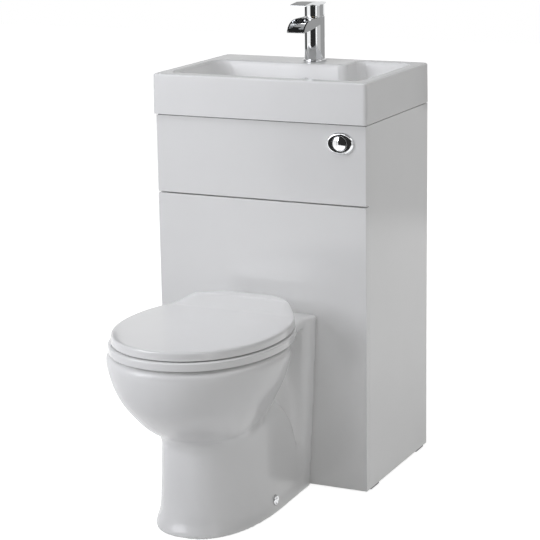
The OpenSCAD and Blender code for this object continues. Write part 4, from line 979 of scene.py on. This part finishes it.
# %% Seat mesh
seat = new_object("seat_moulded", [(0, 0, 0)], [])
run_group(seat, seat_rule, Around=225, Across=65, Half_width=seat_half * MM,
          Front=(seat_centre - tip_y) * MM, Back=220 * MM, Centre=seat_centre * MM, Rear=-24 * MM,
          Hole_half_width=(seat_half - 72) * MM, Hole_front=148 * MM, Hole_back=118 * MM,
          Hole_centre=(seat_centre - 20) * MM, Underside=seat_low.z * MM,
          Thickness=seat_thickness * MM, Top_roundness=7.5, Foot_roundness=12.0,
          Material=finishes["seat_plastic"])
work = bmesh.new()
work.from_mesh(seat.data)
bmesh.ops.recalc_face_normals(work, faces=work.faces)
work.to_mesh(seat.data)
work.free()
for side in (-1, 1):
    ends = sorted((side * (post_x - 20), side * (post_x - 7)))
    combine(seat, "lug", round_bar("x", (0, hinge_z), *ends, lug_radius), "UNION")
    combine(seat, "arm", box_part(*ends, -34, -2, seat_low.z + 9, seat_low.z + seat_thickness - 1),
            "UNION")
    combine(seat, "root", box_part(*ends, -lug_radius, 2, seat_low.z + 9, hinge_z), "UNION")
    combine(seat, "pin_bore", round_bar("x", (0, hinge_z), ends[0] - 1, ends[1] + 1, pin_bore))
shade_smooth(seat, 40)
settle(seat, "seat")
print("seat:", len(seat.data.polygons), "faces")

# %% [markdown]
# ## Turned pieces
#
# A cap, a foot ring and a plug are round, so each is a short profile that is turned
# about a line, as on a lathe. The caps over the pan's side screws are shallow cups. The
# tap gets two trim rings: one where it stands on the basin, and a collar that closes the
# gap under its lever. They join the tap's body, because they never leave it. The plug's
# top rises a little to its middle, and its underside stays a hair clear of the flange.

# %% Caps of the side screws
cap_face = cap_high.x + 3.5
# How far out from the face, and radius
cap_profile = [(-5, 9.9), (-3, 10.4), (1.4, 10.5), (2.6, 10.2), (3.4, 9.5), (3.6, 8.8), (3.3, 8.1),
               (2.5, 7.5), (1.6, 7.1), (1.2, 6.6), (1.5, 6.2), (2.6, 5.9), (3.5, 5.0), (4.1, 3.4),
               (4.4, 1.7), (4.5, 0.3)]
shaft_profile = [(-15, 3.0), (-4, 3.0)]
cap_parts = []
for side in (-1, 1):
    for profile in (cap_profile, shaft_profile):
        rows = [(side * (cap_face + out), radius) for out, radius in profile]
        cap_parts.append(turned("x", (cap_y, cap_z), rows[::side]))
caps = joined("side_fixing_caps", *cap_parts)
shade_smooth(caps, 50)
settle(caps, "side_fixings")
print("caps stand out to", round(cap_face + 4.5, 1), "mm from the middle")

# %% Tap with its foot ring and collar
tap_foot, tap_top = box_mm("tap_body")[0].z, box_mm("tap_body")[1].z
# Height above the basin or over the body's top, and radius
foot_profile = [(0, 22.5), (0, 25.8), (0.8, 26.5), (3.8, 26.5), (5.0, 26.0), (5.7, 24.9),
                (5.8, 22.5)]
collar_profile = [(-1, 17.2), (-1, 20.6), (0.9, 20.6), (1.1, 20.4), (1.1, 17.2)]
tap_rings = joined("tap_rings", *[
    turned("z", (0, tap_y), [(start + up_by, radius) for up_by, radius in profile], closed=True)
    for start, profile in ((tap_foot, foot_profile), (tap_top, collar_profile))])
softened("tap_body", 0.6, extra=tap_rings)
print("tap body from", round(tap_foot, 1), "to", round(tap_top, 1))

# %% Plug
plug_foot, plug_top = box_mm("waste_plug")[0].z, box_mm("waste_plug")[1].z
stem_profile = [(0, 0.3), (0, 17.3), (0.4, 17.7), (9.6, 17.7), (10, 17.3), (10, 6)]
dome_profile = [(3.4, 6), (3.35, 30.4), (2.7, 31), (1.6, 31), (0.9, 30.2), (0.3, 26), (0.05, 14),
                (0, 0.3)]
plug_profile = [(plug_foot + up_by, radius) for up_by, radius in stem_profile]
plug_profile += [(plug_top - down_by, radius) for down_by, radius in dome_profile]
plug = new_object("waste_plug_turned", *turned("z", (0, waste_y), plug_profile))
shade_smooth(plug, 40)
settle(plug, "waste_plug")
print("plug", round(plug_top - plug_foot, 1), "mm high")

# %% [markdown]
# ## Small moulded and machined pieces
#
# Nuts, pipes, brackets and valves are round or have moulded corners. Their solids are
# exact, but a solid's triangles are shaded flat. The same copy with merged corners takes
# smooth shading, and a narrow bevel gives the corners the radius that a mould or a lathe
# leaves.

# %% Small pieces, by the width of their edges
small_edges = {
    0.3: ["wall_brackets", "cam_fasteners", "waste_flange", "trap_outlet_pipe", "tap_stud",
          "tap_backplate", "flush_seal", "button_bezel"],
    0.4: ["tap_nut", "tap_cartridge", "tap_spindle", "flush_pipe", "full_flush_button",
          "half_flush_button", "pan_seals"],
    0.5: ["glides", "flush_valve_body", "flush_valve_piston", "inlet_valve", "button_sleeve",
          "pan_connector", "hinge_nuts"],
    0.6: ["waste_nut", "trap_nuts", "outlet_nut", "seat_buffers", "lid_buffers", "hinge_posts",
          "tap_lever"],
    0.8: ["panel_clips", "overflow_trim", "trap_body", "trap_cup", "tail_clips", "cistern_tank",
          "cistern_lid", "float_arm", "floor_brackets"],
}
for width, pieces in small_edges.items():
    for piece in pieces:
        softened(piece, width)
print(sum(len(pieces) for pieces in small_edges.values()), "small pieces have rounded corners")

# %% [markdown]
# ## Braided hoses
#
# The tap's two tails and the cistern's supply hose wear a braid of steel wire. A braid
# is a rule and not a shape: a number of wires wind round the hose to the right, as many
# to the left, and all of them follow its path. The group below takes a path and gives
# every wire an angle, which grows along the path.

# %% The braid as a group
braid, given, result = new_group(
    "braided_hose", [("Geometry", GEOMETRY), ("Core radius", FLOAT), ("Wire radius", FLOAT),
                     ("Wires", INT), ("Turns per metre", FLOAT), ("Step", FLOAT),
                     ("Material", MATERIAL)])
line = put(braid, "GeometryNodeMeshToCurve", Mesh=given.outputs["Geometry"]).outputs[0]
line = put(braid, "GeometryNodeResampleCurve", {"mode": "LENGTH"}, Curve=line,
           Length=given.outputs["Step"]).outputs[0]


def swept(curve, radius, sides):
    """A round bar along a curve, with closed ends, in nodes."""
    section = put(braid, "GeometryNodeCurvePrimitiveCircle", Resolution=sides,
                  Radius=given.outputs[radius]).outputs[0]
    return put(braid, "GeometryNodeCurveToMesh", Curve=curve, Profile_Curve=section,
               Fill_Caps=True).outputs[0]


def vector_calc(operation, **inputs):
    """A Vector Math node in the braid."""
    return put(braid, "ShaderNodeVectorMath", {"operation": operation}, **inputs).outputs[0]


skins = [swept(line, "Core radius", 24)]
tangent = put(braid, "GeometryNodeInputTangent").outputs[0]
normal = put(braid, "GeometryNodeInputNormal").outputs[0]
third = vector_calc("CROSS_PRODUCT", i0=tangent, i1=normal)
way = put(braid, "GeometryNodeSplineParameter").outputs["Length"]
for hand in (1, -1):
    many = put(braid, "GeometryNodeDuplicateElements", {"domain": "SPLINE"}, Geometry=line,
               Amount=given.outputs["Wires"])
    start = calc(braid, "DIVIDE", many.outputs["Duplicate Index"], given.outputs["Wires"])
    wound = calc(braid, "MULTIPLY", way, given.outputs["Turns per metre"])
    turn = calc(braid, "MULTIPLY", calc(braid, "MULTIPLY_ADD", wound, float(hand), start),
                2 * math.pi)
    shift = [vector_calc("SCALE", i0=vector, Scale=calc(
        braid, "MULTIPLY", calc(braid, kind, turn), given.outputs["Core radius"]))
        for vector, kind in ((normal, "COSINE"), (third, "SINE"))]
    moved = put(braid, "GeometryNodeSetPosition", Geometry=many.outputs["Geometry"],
                Offset=vector_calc("ADD", i0=shift[0], i1=shift[1])).outputs[0]
    skins.append(swept(moved, "Wire radius", 5))
both_ways = braid.nodes.new("GeometryNodeJoinGeometry")
for skin in skins:
    braid.links.new(skin, both_ways.inputs[0])
finish_group(braid, both_ways.outputs[0], given, result)
print(braid.name, "has", len(braid.nodes), "nodes")


# %% Hose helpers
def rounded_path(corners, steps=16):
    """Smooth path that starts and ends straight and rounds every corner between."""
    corners = [np.array(corner, float) for corner in corners]
    path = [corners[0]]
    for i in range(1, len(corners) - 1):
        before, here, after = corners[i - 1], corners[i], corners[i + 1]
        start = (before + 3 * here) / 4 if i == 1 else (before + here) / 2
        end = (after + 3 * here) / 4 if i == len(corners) - 2 else (here + after) / 2
        for t in np.arange(steps + 1) / steps:
            path.append((1 - t) ** 2 * start + 2 * t * (1 - t) * here + t * t * end)
    return path + [corners[-1]]


def braided_hose(node, corners, *ends):
    """A hose along a path, with its turned or six-sided ends."""
    path = [tuple(p * MM) for p in rounded_path(corners)]
    mesh = bpy.data.meshes.new(node + "_path")
    mesh.from_pydata(path, [(i, i + 1) for i in range(len(path) - 1)], [])
    hose = bpy.data.objects.new(node + "_braided", mesh)
    scene_collection.objects.link(hose)
    run_group(hose, braid, Core_radius=4.8 * MM, Wire_radius=0.5 * MM, Wires=9,
              Turns_per_metre=28.0, Step=3 * MM, Material=finishes["braided_hose"])
    add_shell(hose, joined(node + "_ends", *ends))
    shade_smooth(hose, 40)
    return settle(hose, node)


def swivel_nut(x, y, z):
    """The hose's lower end, with room for a pipe end from below."""
    profile = [(14, 0.3), (14, 9.3), (0, 9.3), (0, 12.4), (0.7, 13), (4, 13), (4.5, 12.5), (5, 13),
               (16.6, 13), (17.6, 12), (18, 6), (18, 0.3)]
    return turned("z", (x, y), [(z + up_by, radius) for up_by, radius in profile], 48)


# %% Hot and cold tails
tail_x = box_mm("side_panel_right")[0].x - 24
tail_y = box_mm("side_panel_right")[1].y - 90
tail_foot = box_mm("hot_tail")[0].z
for node, side in (("hot_tail", -1), ("cold_tail", 1)):
    route = [(side * 8, tap_y - 2, rim + 20), (side * 8, tap_y - 2, rim - 40),
             (side * 14, tap_y - 2, rim - 110), (side * 80, tap_y - 10, rim - 150),
             (side * tail_x, tail_y, rim - 154), (side * tail_x, tail_y, rim - 250),
             (side * tail_x, tail_y, tail_foot + 16)]
    braided_hose(node, route, swivel_nut(side * tail_x, tail_y, tail_foot))
print("tails run down at x", round(tail_x, 1), "and y", round(tail_y, 1), "to", round(tail_foot, 1))

# %% Supply hose of the cistern
hose_low, hose_high = box_mm("inlet_hose")
inlet_x, inlet_y = box_mm("cistern_tank")[0].x + 35, tail_y - 40
tank_y = middle_mm("cistern_tank")[1]
hose_top = hose_high.z
route = [(inlet_x, tank_y, hose_top - 1), (inlet_x, tank_y, hose_top - 28),
         (inlet_x, tank_y, hose_top - 78), (14 - tail_x, tank_y - 10, hose_top - 84),
         (-tail_x, inlet_y, hose_top - 86), (-tail_x, inlet_y, tail_foot - 50),
         (-tail_x, inlet_y, hose_low.z + 16)]
# Down from the top, and radius over the corners of the six-sided coupling
coupling_profile = [(22, 0.3), (22, 6), (20, 12.4), (19, 14), (1, 14), (0, 12.4), (0, 10), (19, 10),
                    (19, 0.3)]
coupling = [(hose_top - down_by, radius) for down_by, radius in coupling_profile]
braided_hose("inlet_hose", route, swivel_nut(-tail_x, inlet_y, hose_low.z),
             turned("z", (inlet_x, tank_y), coupling, 6))
print("supply hose from", round(hose_low.z, 1), "to", round(hose_top, 1))

# %% [markdown]
# ## Studio
#
# The picture was taken against plain white, lit from the upper left: the front boards
# fall off from light grey at the top left to mid grey at the bottom right, and the side
# board is darker still. One soft lamp close by on the left gives that fall-off, weaker
# ones above, on the right and behind keep the other sides readable, and an even world
# fills the rest. White is what the camera and the chrome see of the world, through
# Light Path, so the background is white without more light on the object. The floor is
# treated in the same way: it looks nearly white and still keeps the object's shadow.

# %% Floor
def seen_by_eye(tree):
    """1 for rays that end in the picture's colours, 0 for those that only light things."""
    path = put(tree, "ShaderNodeLightPath")
    seen = calc(tree, "MAXIMUM", path.outputs["Is Camera Ray"], path.outputs["Is Glossy Ray"])
    return calc(tree, "MAXIMUM", seen, path.outputs["Is Transmission Ray"])


paper_grey = 0.64
glow_under, glow_far = 0.81, 1.0
fade_start, fade_end = 0.5, 1.3
paper, tree, shader = painted_tree("pale_floor")
shader.inputs["Base Color"].default_value = (paper_grey, paper_grey, paper_grey, 1)
shader.inputs["Roughness"].default_value = 0.9
shader.inputs["Specular IOR Level"].default_value = 0.1
away = put(tree, "ShaderNodeVectorMath", {"operation": "LENGTH"},
           i0=put(tree, "ShaderNodeTexCoord").outputs["Object"])
level = put(tree, "ShaderNodeMapRange", Value=away.outputs["Value"], From_Min=fade_start,
            From_Max=fade_end, To_Min=glow_under, To_Max=glow_far)
glow = put(tree, "ShaderNodeEmission", Strength=level.outputs["Result"])
both = put(tree, "ShaderNodeAddShader", i0=shader.outputs["BSDF"], i1=glow.outputs["Emission"])
choose = put(tree, "ShaderNodeMixShader", Fac=seen_by_eye(tree), i1=shader.outputs["BSDF"],
             i2=both.outputs["Shader"])
tree.links.new(choose.outputs["Shader"], tree.nodes["Material Output"].inputs["Surface"])

floor_half = 8000
floor = new_object("floor", [(-floor_half, -floor_half, 0), (floor_half, -floor_half, 0),
                             (floor_half, floor_half, 0), (-floor_half, floor_half, 0)],
                   [(0, 1, 2, 3)])
floor.data.materials.append(paper)
print("floor", 2 * floor_half / 1000, "m wide")

# %% World
fill_strength = 0.27
less_from_above = 0.85
world = bpy.data.worlds.new("studio")
bpy.context.scene.world = world
world.use_nodes = True
tree = world.node_tree
direction = put(tree, "ShaderNodeSeparateXYZ",
                i0=put(tree, "ShaderNodeTexCoord").outputs["Generated"])
above = calc(tree, "MAXIMUM", direction.outputs["Z"], 0.0)
fill = calc(tree, "MULTIPLY_ADD", above, -less_from_above * fill_strength, fill_strength)
missing_light = calc(tree, "SUBTRACT", 1.0, fill)
strength = calc(tree, "MULTIPLY_ADD", seen_by_eye(tree), missing_light, fill)
tree.links.new(strength, tree.nodes["Background"].inputs["Strength"])
tree.nodes["Background"].inputs["Color"].default_value = (1, 1, 1, 1)
print("world fills with", fill_strength)


# %% Lamps
def soft_lamp(name, place, aim, size, watts, colour=(1, 1, 1)):
    """A square lamp that looks at a point."""
    data = bpy.data.lights.new(name, "AREA")
    data.size = size
    data.energy = watts
    data.color = colour
    lamp = bpy.data.objects.new(name, data)
    lamp.location = place
    lamp.rotation_euler = (Vector(aim) - Vector(place)).to_track_quat("-Z", "Y").to_euler()
    scene_collection.objects.link(lamp)


soft_lamp("key", (-1.3, -1.7, 1.4), (0, 0, 0.65), 1.2, 20.8, (0.94, 0.95, 1.0))
soft_lamp("top", (-0.3, -0.9, 2.7), (0, 0, 0.5), 1.2, 15, (0.955, 0.965, 1.0))
soft_lamp("right_high", (1.9, 0.2, 2.4), (0, 0, 0.6), 1.3, 9)
soft_lamp("right_low", (2.1, -2.0, 0.7), (0, 0, 0.5), 1.4, 7.3)
soft_lamp("back", (0.3, 2.8, 0.75), (0, 0, 0.5), 1.5, 14)
print(len(bpy.data.lights), "lamps")

# %% [markdown]
# ## What the chrome sees
#
# In a room of plain white, chrome looks like grey paint. The tap in the picture has dark
# and grey stripes, as from cards round the shot. So cards stand where each stripe would
# come from. Only reflections can see them, so they take no light from the white pieces.

# %% Cards
def reflected_card(name, middle, wide, high, turn, grey):
    """A sheet that only reflections see, this bright; middle in millimetres."""
    c, s = math.cos(turn), math.sin(turn)
    points = [(middle[0] + u * wide / 2 * c, middle[1] + u * wide / 2 * s,
               middle[2] + v * high / 2) for u, v in ((-1, -1), (1, -1), (1, 1), (-1, 1))]
    card = new_object(name, points, [(0, 1, 2, 3)])
    made, tree, _ = painted_tree(name)
    glow = put(tree, "ShaderNodeEmission", Color=(grey, grey, grey, 1))
    tree.links.new(glow.outputs["Emission"], tree.nodes["Material Output"].inputs["Surface"])
    card.data.materials.append(made)
    card.visible_camera = False
    card.visible_diffuse = False
    card.visible_shadow = False
    card.visible_transmission = False
    return card


# Angle round the tap, 0 in front and 90 to the right, distance, width, low and high edge
for card_name, angle, distance, wide, low, high, grey in (
        ("card_camera_side", 13, 2900, 4200, 4, 2300, 0.03),
        ("card_left", -89, 700, 480, 705, 1150, 0.01),
        ("card_right_front", 72, 2600, 2100, 4, 2600, 0.62),
        ("card_right", 127, 2600, 3380, 4, 2600, 0.38),
        ("card_near_right", 160, 500, 450, 735, 946, 0.36),
        ("card_behind", 200, 1700, 5000, 60, 2600, 0.92),
        ("card_behind_lever", 205, 640, 820, 1045, 1700, 0.36)):
    turn = math.radians(angle)
    x, y = distance * math.sin(turn), tap_y - distance * math.cos(turn)
    reflected_card(card_name, (x, y, (low + high) / 2), wide, high - low, turn, grey)
dark_ceiling = reflected_card("card_ceiling", (0, 0, 0), 3000, 2600, 0, 0.02)
dark_ceiling.data.transform(Matrix.Translation((0, 0.2, 2.4))
                            @ Matrix.Rotation(math.radians(90), 4, "X"))
bpy.context.scene.view_settings.view_transform = "Standard"
print("cards stand")
